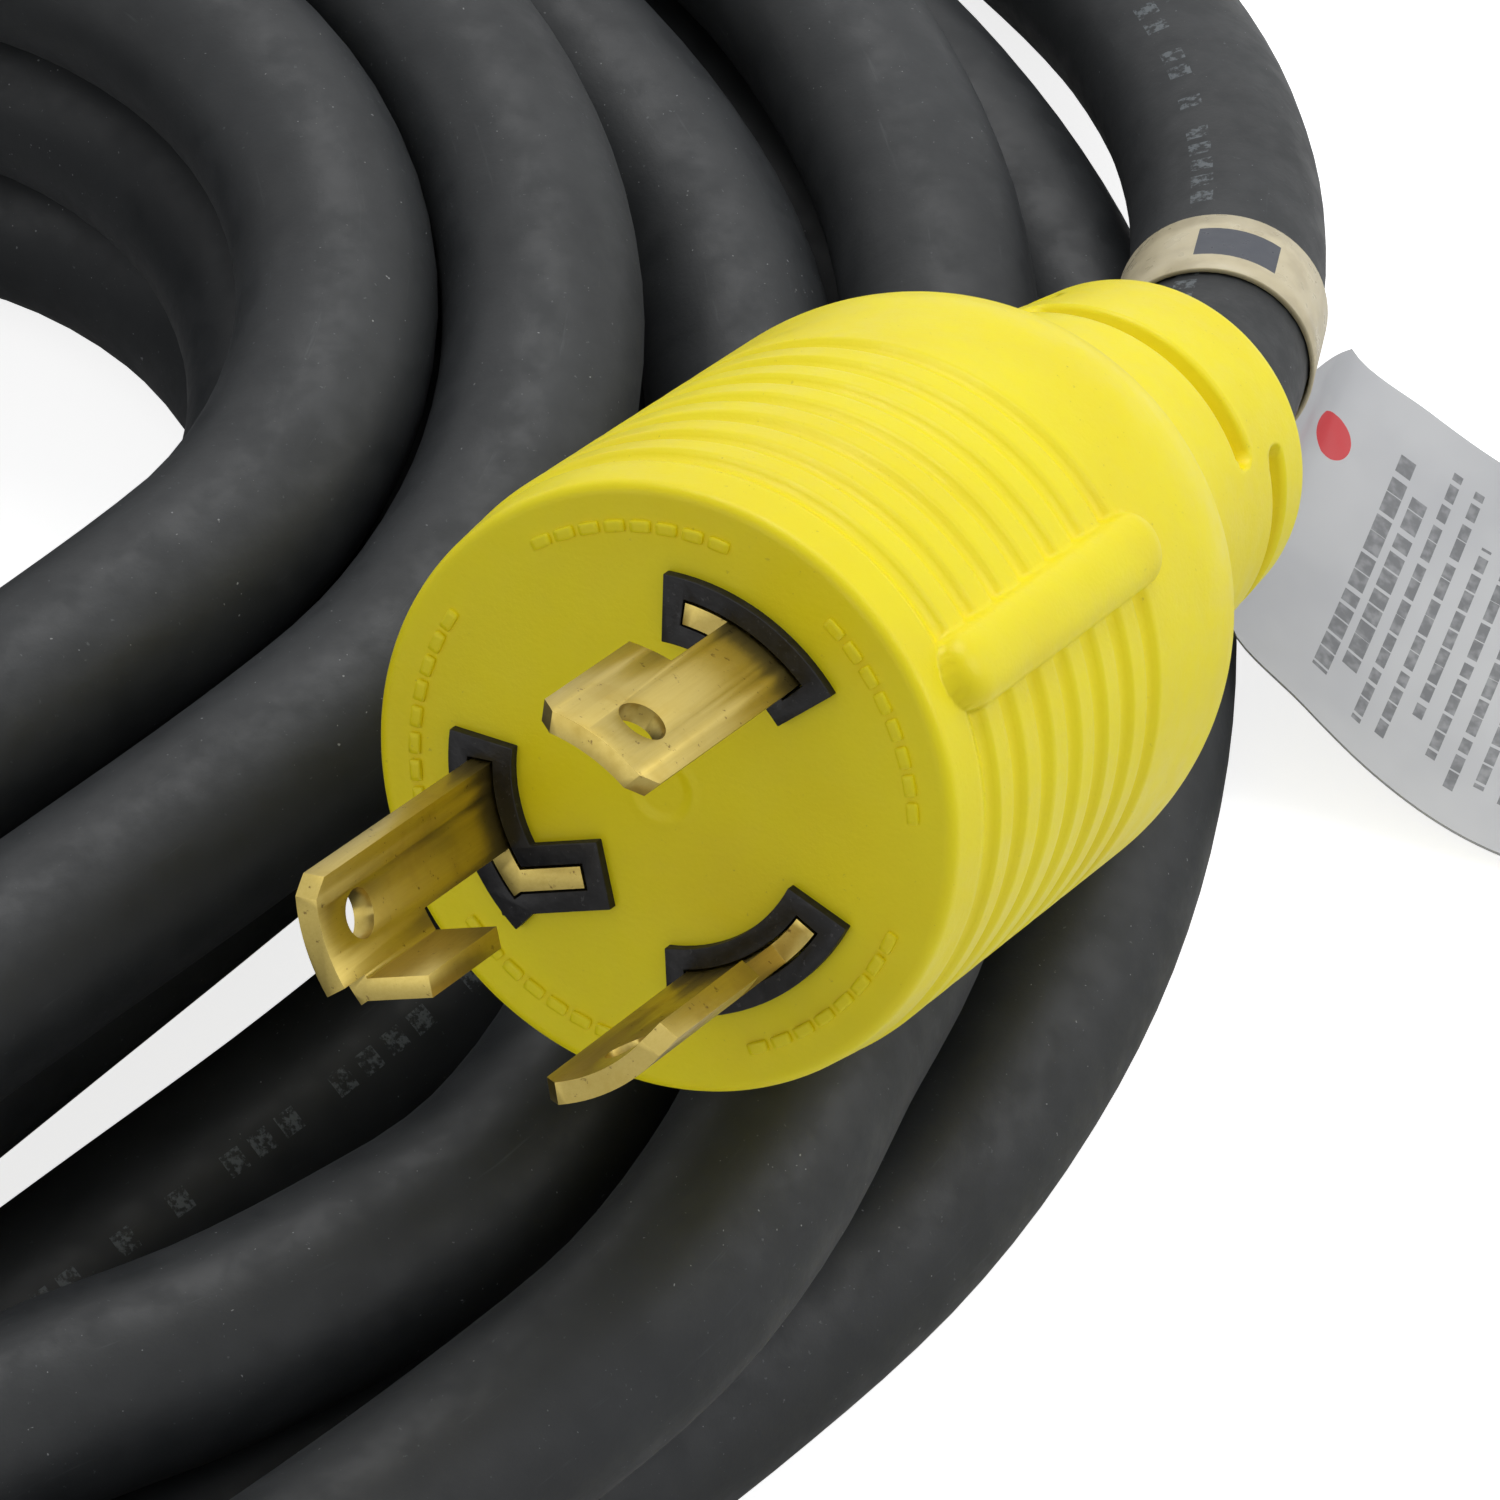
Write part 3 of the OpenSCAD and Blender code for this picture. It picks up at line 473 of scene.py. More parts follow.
class Finish:
    """A material, its shader, and short ways to add and join its nodes."""

    def __init__(self, name, color, roughness, metallic=0.0):
        self.material = bpy.data.materials.new(name)
        self.material.use_nodes = True
        self.tree = self.material.node_tree
        self.shader = self.tree.nodes["Principled BSDF"]
        self.feed("Base Color", (*color, 1))
        self.feed("Roughness", roughness)
        self.feed("Metallic", metallic)
        places = self.add("ShaderNodeTexCoord").outputs
        self.place, self.uv = places["Object"], places["UV"]

    def feed(self, name, value):
        feed(self.tree, self.shader, {name: value})

    def add(self, kind, inputs=None, **settings):
        return new_node(self.tree, kind, inputs or {}, **settings)

    def stretched(self, at, scale):
        return self.add("ShaderNodeMapping", {"Vector": at, "Scale": scale}).outputs["Vector"]

    def local(self, frame, scale):
        """Coordinates along a moulded end's own axes."""
        ends = {"Location": frame.to_translation(), "Rotation": frame.to_euler()}
        turned = self.add("ShaderNodeMapping", {"Vector": self.place, **ends}, vector_type="TEXTURE")
        return self.stretched(turned.outputs["Vector"], scale)

    def noise(self, scale, detail=2.0, rough=0.5, at=None):
        inputs = {"Vector": at or self.place, "Scale": scale, "Detail": detail, "Roughness": rough}
        return self.add("ShaderNodeTexNoise", inputs).outputs["Fac"]

    def span(self, value, low, high, start=0.0, end=1.0):
        inputs = {"Value": value, "From Min": low, "From Max": high, "To Min": start, "To Max": end}
        return self.add("ShaderNodeMapRange", inputs, interpolation_type="SMOOTHSTEP").outputs["Result"]

    def math(self, operation, a, b=0.0):
        return self.add("ShaderNodeMath", {0: a, 1: b}, operation=operation).outputs[0]

    def times(self, first, *others):
        for other in others:
            first = self.math("MULTIPLY", first, other)
        return first

    def chance(self, value):
        """A number of its own, 0 to 1, for each whole step of a value."""
        inputs = {"W": self.math("FLOOR", value)}
        return self.add("ShaderNodeTexWhiteNoise", inputs, noise_dimensions="1D").outputs["Value"]

    def near(self, value, middle, half):
        """1 where a value is within half of a middle, 0 elsewhere."""
        return self.math("LESS_THAN", self.math("ABSOLUTE", self.math("SUBTRACT", value, middle)), half)

    def unrolled(self):
        """Places in the two directions of the piece's own UV map."""
        walk = self.add("ShaderNodeSeparateXYZ", {"Vector": self.uv}).outputs
        return walk["X"], walk["Y"]

    def mix(self, factor, a, b):
        a, b = (c if isinstance(c, bpy.types.NodeSocket) else (*c, 1) for c in (a, b))
        return self.add("ShaderNodeMix", {0: factor, 6: a, 7: b}, data_type="RGBA").outputs[2]

    def color(self, value):
        self.feed("Base Color", value)

    def roughness(self, low, high, *grain):
        """Roughness that wanders between two levels with a noise's grain."""
        self.feed("Roughness", self.span(self.noise(*grain), 0.3, 0.7, low, high))

    def bump(self, height, strength, distance, under=None):
        inputs = {"Height": height, "Strength": strength, "Distance": distance}
        if under is not None:
            inputs["Normal"] = under
        normal = self.add("ShaderNodeBump", inputs).outputs["Normal"]
        self.feed("Normal", normal)
        return normal


def yellow_vinyl():
    f = Finish("yellow_vinyl", (0.93, 0.78, 0.03), 0.4)
    cloud = f.noise(60, 3)
    clean = f.mix(f.span(cloud, 0.35, 0.7), (0.96, 0.825, 0.008), (0.92, 0.77, 0.006))
    grime = f.times(f.span(f.noise(1500, 3, 0.7), 0.66, 0.74), f.span(cloud, 0.4, 0.62, 0.0, 0.45))
    f.color(f.mix(grime, clean, (0.42, 0.34, 0.03)))
    f.roughness(0.34, 0.47, 420, 3)
    skin = f.bump(f.noise(2400, 2, 0.6), 0.28, 0.00009)
    f.bump(f.noise(420, 2), 0.14, 0.00028, skin)
    f.feed("Specular IOR Level", 0.36)
    f.feed("Subsurface Weight", 0.10)
    f.feed("Subsurface Radius", (1.0, 0.7, 0.05))
    f.feed("Subsurface Scale", 0.0015)
    return f.material


def black_nylon():
    f = Finish("black_nylon", (0.014, 0.014, 0.016), 0.42)
    speck = f.span(f.noise(1900, 3, 0.7), 0.62, 0.70)
    cloud = f.mix(f.span(f.noise(900, 3), 0.4, 0.75), (0.006, 0.006, 0.007), (0.014, 0.014, 0.016))
    f.feed("Specular IOR Level", 0.30)
    f.color(f.mix(f.times(speck, 0.6), cloud, (0.075, 0.075, 0.078)))
    f.roughness(0.34, 0.5, 700)
    f.bump(f.noise(2600, 2), 0.35, 0.00008)
    return f.material


def rolled_brass():
    f = Finish("rolled_brass", (0.47, 0.36, 0.10), 0.34, 1.0)
    grain = f.noise(1, 4, 0.7, f.local(PLUG_FRAME, (3600, 3600, 210)))
    stain = f.noise(120, 4, 0.6)
    spots = f.noise(1100, 3, 0.7)
    clean = f.mix(f.span(grain, 0.25, 0.8), (0.52, 0.405, 0.125), (0.47, 0.36, 0.10))
    aged = f.mix(f.span(stain, 0.48, 0.70), clean, (0.40, 0.29, 0.065))
    f.color(f.mix(f.span(spots, 0.64, 0.72), aged, (0.20, 0.135, 0.045)))
    worn = f.span(stain, 0.5, 0.75, 0.0, 0.10)
    f.feed("Roughness", f.math("ADD", f.span(grain, 0.3, 0.7, 0.30, 0.36), worn))
    f.bump(grain, 0.04, 0.00002)
    return f.material


def cable_jacket():
    f = Finish("cable_jacket", (0.030, 0.032, 0.036), 0.5)
    along, around = f.unrolled()
    cloud = f.noise(38, 4, 0.6)
    base = f.mix(f.span(cloud, 0.3, 0.7), (0.0155, 0.0172, 0.019), (0.026, 0.0285, 0.031))
    dust = f.span(f.noise(1700, 2, 0.6), 0.70, 0.77)
    dusty = f.mix(f.times(dust, f.span(cloud, 0.35, 0.65, 0.2, 0.7)), base, (0.11, 0.12, 0.125))
    speck = f.times(f.span(f.noise(2300, 1, 0.5), 0.77, 0.81), f.span(cloud, 0.4, 0.6, 0.0, 0.8))
    dusty = f.mix(speck, dusty, (0.33, 0.34, 0.35))
    # scuffs drawn along the jacket where it was dragged
    scuff = f.span(f.noise(1, 4, 0.7, f.stretched(f.uv, (60, 46, 1))), 0.63, 0.74, 0.0, 0.35)
    dusty = f.mix(scuff, dusty, (0.075, 0.082, 0.086))
    # faint generic dashes stamped in a line that winds slowly round the jacket
    line = PRINT_SIDE
    for begin, end, turned in PRINT_TURNS:
        line = f.math("ADD", line, f.span(along, begin, end, 0.0, turned))
    band = f.near(around, f.math("FRACT", line), 0.019)
    cell = f.times(along, PRINT_CELLS)
    inked = f.math("GREATER_THAN", f.chance(cell), 0.30)
    dash = f.math("LESS_THAN", f.math("FRACT", cell), 0.66)
    stretch = f.math("GREATER_THAN", f.noise(11, 1), 0.44)
    worn = f.span(f.noise(1500, 3, 0.7), 0.44, 0.60)
    f.color(f.mix(f.times(inked, dash, band, stretch, worn, 0.50), dusty, (0.22, 0.25, 0.27)))
    f.roughness(0.46, 0.62, 240, 4, 0.6)
    f.feed("Specular IOR Level", 0.36)
    skin = f.bump(f.noise(2100, 3, 0.6), 0.25, 0.00007)
    f.bump(f.noise(150, 2), 0.18, 0.0005, skin)
    return f.material


def plain_plastic(name, color, roughness=0.4):
    f = Finish(name, color, roughness)
    lighter = tuple(min(1.0, c * 1.25 + 0.01) for c in color)
    f.color(f.mix(f.span(f.noise(300, 3), 0.35, 0.7), color, lighter))
    f.roughness(roughness - 0.06, roughness + 0.08, 500)
    f.bump(f.noise(2500, 2), 0.1, 0.00005)
    return f.material


def plain_metal(name, color, roughness):
    f = Finish(name, color, roughness, 1.0)
    darker = tuple(c * 0.8 for c in color)
    f.color(f.mix(f.span(f.noise(400, 4), 0.4, 0.7), color, darker))
    f.roughness(roughness - 0.07, roughness + 0.1, 800, 3)
    f.bump(f.noise(3000, 2), 0.12, 0.00004)
    return f.material


def strap_film():
    f = Finish("strap_film", (0.62, 0.55, 0.38), 0.33)
    around, across = f.unrolled()
    panel = f.times(f.near(around, STRAP_PANEL, STRAP_PANEL_HALF), f.near(across, 0.5, 0.24))
    film = f.mix(f.span(f.noise(350, 3), 0.4, 0.7), (0.64, 0.565, 0.38), (0.54, 0.47, 0.31))
    f.color(f.mix(panel, film, (0.045, 0.052, 0.07)))
    f.roughness(0.26, 0.4, 600)
    f.bump(f.noise(500, 2), 0.08, 0.00008)
    return f.material


def tag_film():
    # the grey base is painted shade: the tag is white film, coloured grey for the shade it lies in
    f = Finish("tag_film", (0.50, 0.51, 0.53), 0.35)
    along, across = f.unrolled()
    # plain grey dashes in ruled rows of uneven length, the first two rows bold
    place = f.math("DIVIDE", f.math("SUBTRACT", along, TAG_PRINT_FROM), TAG_ROW)
    bold = f.math("LESS_THAN", f.math("FLOOR", place), 2.0)
    weight = f.math("ADD", 0.20, f.times(bold, 0.14))
    rule = f.near(f.math("FRACT", place), 0.5, weight)
    pick = f.chance(place)
    margin = f.near(across, 0.5, f.span(pick, 0.0, 1.0, 0.27, 0.41))
    break_at = f.math("ADD", f.times(across, 17.0), f.times(pick, 9.0))
    length = f.span(f.chance(break_at), 0.0, 1.0, 0.70, 0.98)
    dash = f.math("LESS_THAN", f.math("FRACT", break_at), length)
    started = f.math("GREATER_THAN", place, 0.0)
    worn = f.span(f.noise(900, 2), 0.25, 0.6, 0.55, 0.85)
    # film tones are painted shade on white film, varied at random by a noise
    film = f.mix(f.span(f.noise(60, 3), 0.35, 0.7), (0.56, 0.57, 0.59), (0.49, 0.50, 0.525))
    ruled = f.mix(f.times(rule, margin, started, dash, worn), film, (0.10, 0.105, 0.115))
    # one plain red spot
    offs = [
        f.math("DIVIDE", f.math("SUBTRACT", value, middle), reach)
        for value, middle, reach in zip((along, across), TAG_SPOT, TAG_SPOT_REACH)
    ]
    spot_off = f.math("ADD", *(f.times(off, off) for off in offs))
    f.color(f.mix(f.math("LESS_THAN", spot_off, 1.0), ruled, (0.62, 0.02, 0.03)))
    f.roughness(0.28, 0.42, 400)
    f.bump(f.noise(220, 2), 0.08, 0.0003)
    return f.material


def tie_webbing():
    f = Finish("tie_webbing", (0.018, 0.018, 0.020), 0.85)
    threads = {"Vector": f.stretched(f.uv, (900, 24, 1)), "Scale": 1.0, "Distortion": 1.5}
    weave = f.add("ShaderNodeTexWave", threads).outputs["Fac"]
    fuzz = f.noise(2600, 3, 0.7)
    shade = f.times(weave, fuzz)
    f.color(f.mix(f.span(shade, 0.1, 0.6), (0.010, 0.010, 0.011), (0.045, 0.045, 0.050)))
    f.feed("Sheen Weight", 0.3)
    under = f.bump(weave, 0.5, 0.0003)
    f.bump(fuzz, 0.5, 0.0003, under)
    return f.material


FINISHES = {
    "yellow_body": yellow_vinyl(),
    "black_insert": black_nylon(),
    "brass_blade": rolled_brass(),
    "inner_black": plain_plastic("inner_black", (0.05, 0.05, 0.05)),
    "wire_black": plain_plastic("wire_black", (0.025, 0.025, 0.025), 0.3),
    "wire_white": plain_plastic("wire_white", (0.78, 0.78, 0.75), 0.3),
    "wire_green": plain_plastic("wire_green", (0.04, 0.30, 0.10), 0.3),
    "copper": plain_metal("bare_copper", (0.86, 0.45, 0.28), 0.3),
    "steel_ring": plain_metal("pressed_steel", (0.55, 0.55, 0.56), 0.32),
    "cable_jacket": cable_jacket(),
    "strap_film": strap_film(),
    "tag_film": tag_film(),
    "tie_fabric": tie_webbing(),
}


def finish(piece, slot):
    piece.data.materials.clear()
    piece.data.materials.append(FINISHES[slot])


def stand_for(piece, slot, *nodes):
    """Give a made piece its finish and let it stand for the nodes it dresses."""
    finish(piece, slot)
    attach(piece, "root")
    if nodes:
        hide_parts(*nodes)
    return piece


# ---------- moulded bodies ----------
LIP = 0.0042
LIP_UNDER = 0.0003
RIM = 0.0009
MOUTH_EASE = 0.0016
GROOVES = 7
GROOVE_FIRST = 0.0056
GROOVE_PITCH = 0.00507
GROOVE_R = 0.0014
GROOVE_DEPTH = 0.0007
# Index ribs along the grip, half a turn apart
RIB_HALF = 0.0031
RIB_RISE = 0.0020
RIB_START = 0.0034
RIB_LENGTH = 0.037
RIB_ANGLE = radians(22)
# Relief slots across the neck
SLOT_HALF = 0.0013
SLOT_CORNER = 0.0011
SLOT_DEPTH = 0.0032
SLOT_ARC = radians(88)
SLOT_REAR = 0.0078
SLOT_PITCH = 0.0068
SLOT_ANGLE = radians(57.5)
BLADE_R = 0.0155
BLADE_T = 0.0018
# Middle angle and arc of each blade, in degrees
BLADES = ((57, 39), (298, 46), (195, 41))
LEG_LENGTH = 0.006
LEG_ANGLE = radians(8)
COLLAR_HALF = 0.0028
COLLAR_OVER = radians(7)
WINDOW_DEPTH = 0.0023
INSERT_BORE = 0.0211
INSERT_DEPTH = 0.0275
# Round gate mark in the middle of the face
GATE_R = 0.0023
GATE_DEPTH = 0.00016
GATE_RIM = 0.00012


def spread_angles():
    """Angles round a body, close together where the index ribs stand."""
    reach = 0.0046 / GRIP_R
    fine = np.linspace(-reach, reach, 37)
    plain = np.linspace(reach, pi - reach, 106)[1:-1]
    half = RIB_ANGLE + np.concatenate([fine, plain])
    return np.concatenate([half, half + pi])


def body_radius(depth, face_r, grip_r, grip_len, length):
    """Outer radius at each depth behind the face, with the lip, grooves, shoulder and neck."""
    lip = face_r + (grip_r - LIP_UNDER - face_r) * depth / LIP
    radius = lip + (grip_r - lip) * smoothstep((depth - LIP) / 0.0006)
    for k in range(GROOVES):
        off = np.abs(depth - GROOVE_FIRST - k * GROOVE_PITCH)
        cut = np.sqrt(np.clip(GROOVE_R ** 2 - off ** 2, 0, None)) - (GROOVE_R - GROOVE_DEPTH)
        radius = radius - soft_max(cut, 0 * cut, 0.00022)
    shoulder = radius - rounding(SHOULDER_R, np.clip(depth - grip_len, 0, SHOULDER_RUN))
    neck_top = grip_r - (SHOULDER_R - SHOULDER_R * cos(SHOULDER_ARC)) - NECK_STEP
    u = (depth - grip_len - SHOULDER_RUN) / (NECK - 0.002)
    neck = neck_top + (NECK_END_R - neck_top) * u
    step = smoothstep((depth - grip_len - SHOULDER_RUN + 0.0002) / 0.0007)
    radius = shoulder * (1 - step) + neck * step
    radius = radius - rounding(RIM, np.clip(RIM - depth, 0, RIM))
    return radius - rounding(MOUTH_EASE, np.clip(depth - length + MOUTH_EASE, 0, MOUTH_EASE))


def rib_height(angle, depth, centre, grip_r):
    """Rise of a round-ended index rib, full in the middle and steep at its foot."""
    across = grip_r * turned_from(centre, angle)
    start, end = RIB_START + RIB_HALF, RIB_START + RIB_LENGTH - RIB_HALF
    past = np.clip(start - depth, 0, None) + np.clip(depth - end, 0, None)
    off = np.hypot(across, past) / RIB_HALF
    return RIB_RISE * np.sqrt(np.clip(1 - off ** 2.5, 0, None)) - 0.002 * (off > 1)


def slot_cut(angle, depth, centre, middle, radius):
    """Depth of a round-cornered slot that lies across the neck."""
    past_end = np.abs(radius * turned_from(centre, angle)) - radius * SLOT_ARC / 2
    past_side = np.abs(depth - middle) - SLOT_HALF
    end_off = np.clip(past_end + SLOT_CORNER, 0, None)
    side_off = np.clip(past_side + SLOT_CORNER, 0, None)
    inside = np.minimum(np.maximum(past_end, past_side), 0)
    edge = np.where((end_off > 0) | (side_off > 0), np.hypot(end_off, side_off) - SLOT_CORNER, inside)
    return SLOT_DEPTH * smoothstep(0.5 - edge / 0.0007)


def face_sink(x, y):
    """Depth of the plug's face under the carrier's collars, and of its gate mark."""
    radius = np.hypot(x, y)
    inside = np.full_like(radius, -1.0)
    for middle, arc in BLADES:
        turn = turned_from(radians(middle), np.arctan2(y, x))
        ends = (radians(arc / 2) + COLLAR_OVER - np.abs(turn)) * radius
        inside = np.maximum(inside, np.minimum(COLLAR_HALF - np.abs(radius - BLADE_R), ends))
    # The last blade has a straight leg at its end
    middle, arc = BLADES[-1]
    root = radians(middle + arc / 2) - BLADE_T / 2 / BLADE_R
    dx, dy = x - BLADE_R * cos(root), y - BLADE_R * sin(root)
    along = dx * cos(LEG_ANGLE) + dy * sin(LEG_ANGLE)
    aside = dy * cos(LEG_ANGLE) - dx * sin(LEG_ANGLE)
    grow = COLLAR_HALF - BLADE_T / 2
    leg = np.minimum(np.minimum(along + grow, LEG_LENGTH + grow - along), COLLAR_HALF - np.abs(aside))
    inside = np.maximum(inside, leg)
    gate = GATE_DEPTH * smoothstep((GATE_R - radius) / 0.0003)
    gate_rim = GATE_RIM * smoothstep(1 - np.abs(radius - GATE_R - 0.0003) / 0.0004)
    return WINDOW_DEPTH * smoothstep((inside - 0.0005) / 0.0008) + (gate - gate_rim)


def moulded_body(kind, place, face_r, grip_r, grip_len, bored=False):
    """One skin from the middle of the face, over the grip and neck, to the cable's mouth."""
    length = grip_len + SHOULDER_RUN + NECK
    rim = np.array([0, 0.00003, 0.00012, 0.00027, 0.00045, 0.00065, 0.0009])
    grip = np.linspace(0.0012, grip_len, 140)
    shoulder = np.linspace(grip_len, grip_len + SHOULDER_RUN - 0.0004, 18)[1:]
    neck = np.linspace(grip_len + SHOULDER_RUN - 0.0001, length - 0.0018, 72)
    end = length - MOUTH_EASE * (1 - np.sin(np.linspace(0.0, pi / 2, 7)))
    depth = np.concatenate([rim, grip, shoulder, neck, end])
    angle = spread_angles()

    def all_round(values):
        return np.repeat(values[:, None], len(angle), axis=1)

    plain = body_radius(depth, face_r, grip_r, grip_len, length)
    wide, deep = np.meshgrid(angle, depth)
    radius = all_round(plain)
    for half in (0, 1):
        rise = rib_height(wide, deep, RIB_ANGLE + half * pi, grip_r)
        radius = np.where(rise > -0.001, soft_max(grip_r + rise, radius, 0.0003), radius)
        for row in (0, 1):
            middle = length - SLOT_REAR - row * SLOT_PITCH
            centre = SLOT_ANGLE + half * pi + (1 - row) * pi / 2
            radius = radius - slot_cut(wide, deep, centre, middle, NECK_END_R + 0.0005 * row)
    middle_r, face_edge = 0.0004, plain[0] - 0.0002
    if bored:
        bore = [middle_r] + [INSERT_BORE] * 5
        face = np.concatenate([bore, np.linspace(INSERT_BORE, face_edge, 8)])
        wall = np.linspace(INSERT_DEPTH, 0.0001, 5)[1:]
        sunk = all_round(np.concatenate([[INSERT_DEPTH] * 2, wall, np.zeros(8)]))
    else:
        face = np.linspace(middle_r, face_edge, 60)
        sunk = face_sink(face[:, None] * np.cos(angle), face[:, None] * np.sin(angle))
    mouth = np.linspace(plain[-1], CABLE_R - 0.0002, 4)[1:]
    inner = np.array([length, length - 0.0001, length - 0.0012])
    radius = np.vstack([all_round(face), radius, all_round(mouth)])
    depth = np.vstack([sunk, all_round(np.concatenate([depth, inner]))])
    rings = np.stack([radius * np.cos(angle), radius * np.sin(angle), -depth], axis=2)
    mesh = grid_mesh(kind + "_moulding", rings, caps=(True, False))
    mesh.transform(place)
    return stand_for(welded_piece(mesh), "yellow_body", kind + "_body")


moulded_body("plug", PLUG_FRAME, FACE_R, GRIP_R, PLUG_GRIP)
connector_body = moulded_body("connector", CONN_FRAME, CONN_R, CONN_R, CONN_GRIP, bored=True)


# ---------- repeated details ----------
SIZES = ("Length", "Width", "Height")


def branch(name, numbers):
    """Start of a geometry tree that grows small bars, with its steps and its own way out."""
    tree = bpy.data.node_groups.new(name, "GeometryNodeTree")
    numbers = [*numbers, *((label, "Float") for label in SIZES)]
    for label, kind in [("Geometry", "Geometry"), *numbers, ("Finish", "Material")]:
        tree.interface.new_socket(label, in_out="INPUT", socket_type="NodeSocket" + kind)
    tree.interface.new_socket("Geometry", in_out="OUTPUT", socket_type="NodeSocketGeometry")
    given = tree.nodes.new("NodeGroupInput").outputs

    def step(kind, inputs, **settings):
        return new_node(tree, kind, inputs, **settings).outputs[0]

    def close(points, turned):
        """A bar with rounded ends and edges on every point, turned as the point says."""
        size = step("ShaderNodeCombineXYZ", {axis: given[label] for axis, label in zip("XYZ", SIZES)})
        bar = step("GeometryNodeMeshCube", {"Size": size})
        bar = step("GeometryNodeSubdivisionSurface", {"Mesh": bar, "Level": 2, "Edge Crease": 0.45})
        bars = {"Points": points, "Instance": bar, "Rotation": turned}
        bars = step("GeometryNodeInstanceOnPoints", bars)
        whole = step("GeometryNodeRealizeInstances", {"Geometry": bars})
        smooth = step("GeometryNodeSetShadeSmooth", {"Geometry": whole})
        named = step("GeometryNodeSetMaterial", {"Geometry": smooth, "Material": given["Finish"]})
        tree.links.new(named, tree.nodes.new("NodeGroupOutput").inputs[0])
        return tree

    return given, step, close


def dash_tree():
    """Raised dashes in groups round a ring."""
    counts = [("Ring", "Float"), ("Count", "Int"), ("Group", "Int"), ("Kept", "Int")]
    given, step, close = branch("raised_dashes", counts)
    ring = step("GeometryNodeMeshCircle", {"Vertices": given["Count"], "Radius": given["Ring"]})
    index = step("GeometryNodeInputIndex", {})
    in_group = step("ShaderNodeMath", {0: index, 1: given["Group"]}, operation="MODULO")
    spare = step("ShaderNodeMath", {0: in_group, 1: given["Kept"]}, operation="GREATER_THAN")
    ring = step("GeometryNodeDeleteGeometry", {"Geometry": ring, "Selection": spare}, domain="POINT")
    where = step("GeometryNodeInputPosition", {})
    apart = new_node(where.id_data, "ShaderNodeSeparateXYZ", {"Vector": where}).outputs
    angle = step("ShaderNodeMath", {0: apart["Y"], 1: apart["X"]}, operation="ARCTAN2")
    facing = step("ShaderNodeMath", {0: angle, 1: pi / 2}, operation="ADD")
    return close(ring, step("ShaderNodeCombineXYZ", {"Z": facing}))


def stitch_tree():
    """Thread stitches at an even pitch along a drawn line."""
    given, step, close = branch("stitches", [("Pitch", "Float")])
    line = step("GeometryNodeMeshToCurve", {"Mesh": given["Geometry"]})
    even = step("GeometryNodeResampleCurve", {"Curve": line, "Length": given["Pitch"]}, mode="LENGTH")
    tangent = step("GeometryNodeInputTangent", {})
    return close(even, step("FunctionNodeAlignEulerToVector", {"Vector": tangent}, axis="X"))


def grown(name, base, tree, place, slot, **values):
    """Plain mesh grown from a base mesh by a geometry tree, set in its place."""
    rough = new_object(base, smooth=False)
    growth = rough.modifiers.new("growth", "NODES")
    growth.node_group = tree
    values["Finish"] = FINISHES[slot]
    for item in tree.interface.items_tree:
        if item.in_out == "INPUT" and item.name in values:
            growth[item.identifier] = values[item.name]
    made = worked_out(rough, name)
    made.transform(place)
    return stand_for(new_object(made), slot)


dashes = dash_tree()
FACE_RING = 0.0216
CONN_RING = 0.0240
ABOVE_FACE = Matrix.Translation((0, 0, 0.00002))
empty = bpy.data.meshes.new("dashes_base")
grown("face_dashes", empty, dashes, PLUG_FRAME @ ABOVE_FACE, "yellow_body",
      Ring=FACE_RING, Count=60, Group=12, Kept=7, Length=0.0018, Width=0.0010, Height=0.00065)
grown("rim_dashes", empty, dashes, CONN_FRAME @ ABOVE_FACE, "yellow_body",
      Ring=CONN_RING, Count=66, Group=11, Kept=6, Length=0.0018, Width=0.0009, Height=0.0006)


# ---------- pieces with their edges eased ----------
def eased(node, width, slot):
    """Copy of a rigid node with its sharp edges rounded, standing for that node."""
    mesh = bpy.data.objects[node].data.copy()
    work = bmesh.new()
    work.from_mesh(mesh)
    bmesh.ops.remove_doubles(work, verts=work.verts, dist=2e-6)
    bmesh.ops.dissolve_limit(work, angle_limit=radians(0.6), verts=work.verts, edges=work.edges)
    work.to_mesh(mesh)
    work.free()
    rough = new_object(mesh, smooth=False)
    bevel = rough.modifiers.new("ease", "BEVEL")
    bevel.width = width
    bevel.segments = 2
    bevel.limit_method = "ANGLE"
    bevel.angle_limit = radians(32)
    bevel.use_clamp_overlap = True
    piece = new_object(worked_out(rough, node + "_eased"))
    piece.data.set_sharp_from_angle(angle=radians(28))
    stand_for(piece, slot, node)


BLADE_EASE = 0.00032
CARRIER_EASE = 0.00018
INSERT_EASE = 0.0003
for blade in ("blade_line_a", "blade_line_b", "blade_ground"):
    eased(blade, BLADE_EASE, "brass_blade")
eased("plug_carrier", CARRIER_EASE, "black_insert")
eased("connector_insert", INSERT_EASE, "black_insert")

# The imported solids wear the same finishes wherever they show
for row in frame["record"]["subparts"]:
    node = row["node"]
    if node in bpy.data.objects:
        bpy.data.objects[node].data.materials.clear()
        bpy.data.objects[node].data.materials.append(FINISHES[row["material_slot"]])


# ---------- label strap and flag tag ----------
STRAP_WIDTH = 0.0104
STRAP_SIDES = 72
TAG_THICK = 0.00035
TAG_COLUMNS = 25
# Middle of the tag from the coil's centre, out of the strap and down to the floor
TAG_ROUTE = [
    (0.1281, 0.011, 0.0223), (0.128, 0.0085, 0.0188), (0.128, 0.0062, 0.0154),
    (0.135, 0.0037, 0.0098), (0.142, 0.0011, 0.0054), (0.15, -0.0018, 0.0022),
    (0.16, -0.0054, 0.0006), (0.195, -0.0182, 0.0006),
]
# Half the tag across, where it comes out of the strap and where it lies
TAG_NECK = [0.0009, 0.0046, -0.0017]
TAG_HALF = 0.020 * np.array([0.342, 0.94, 0])


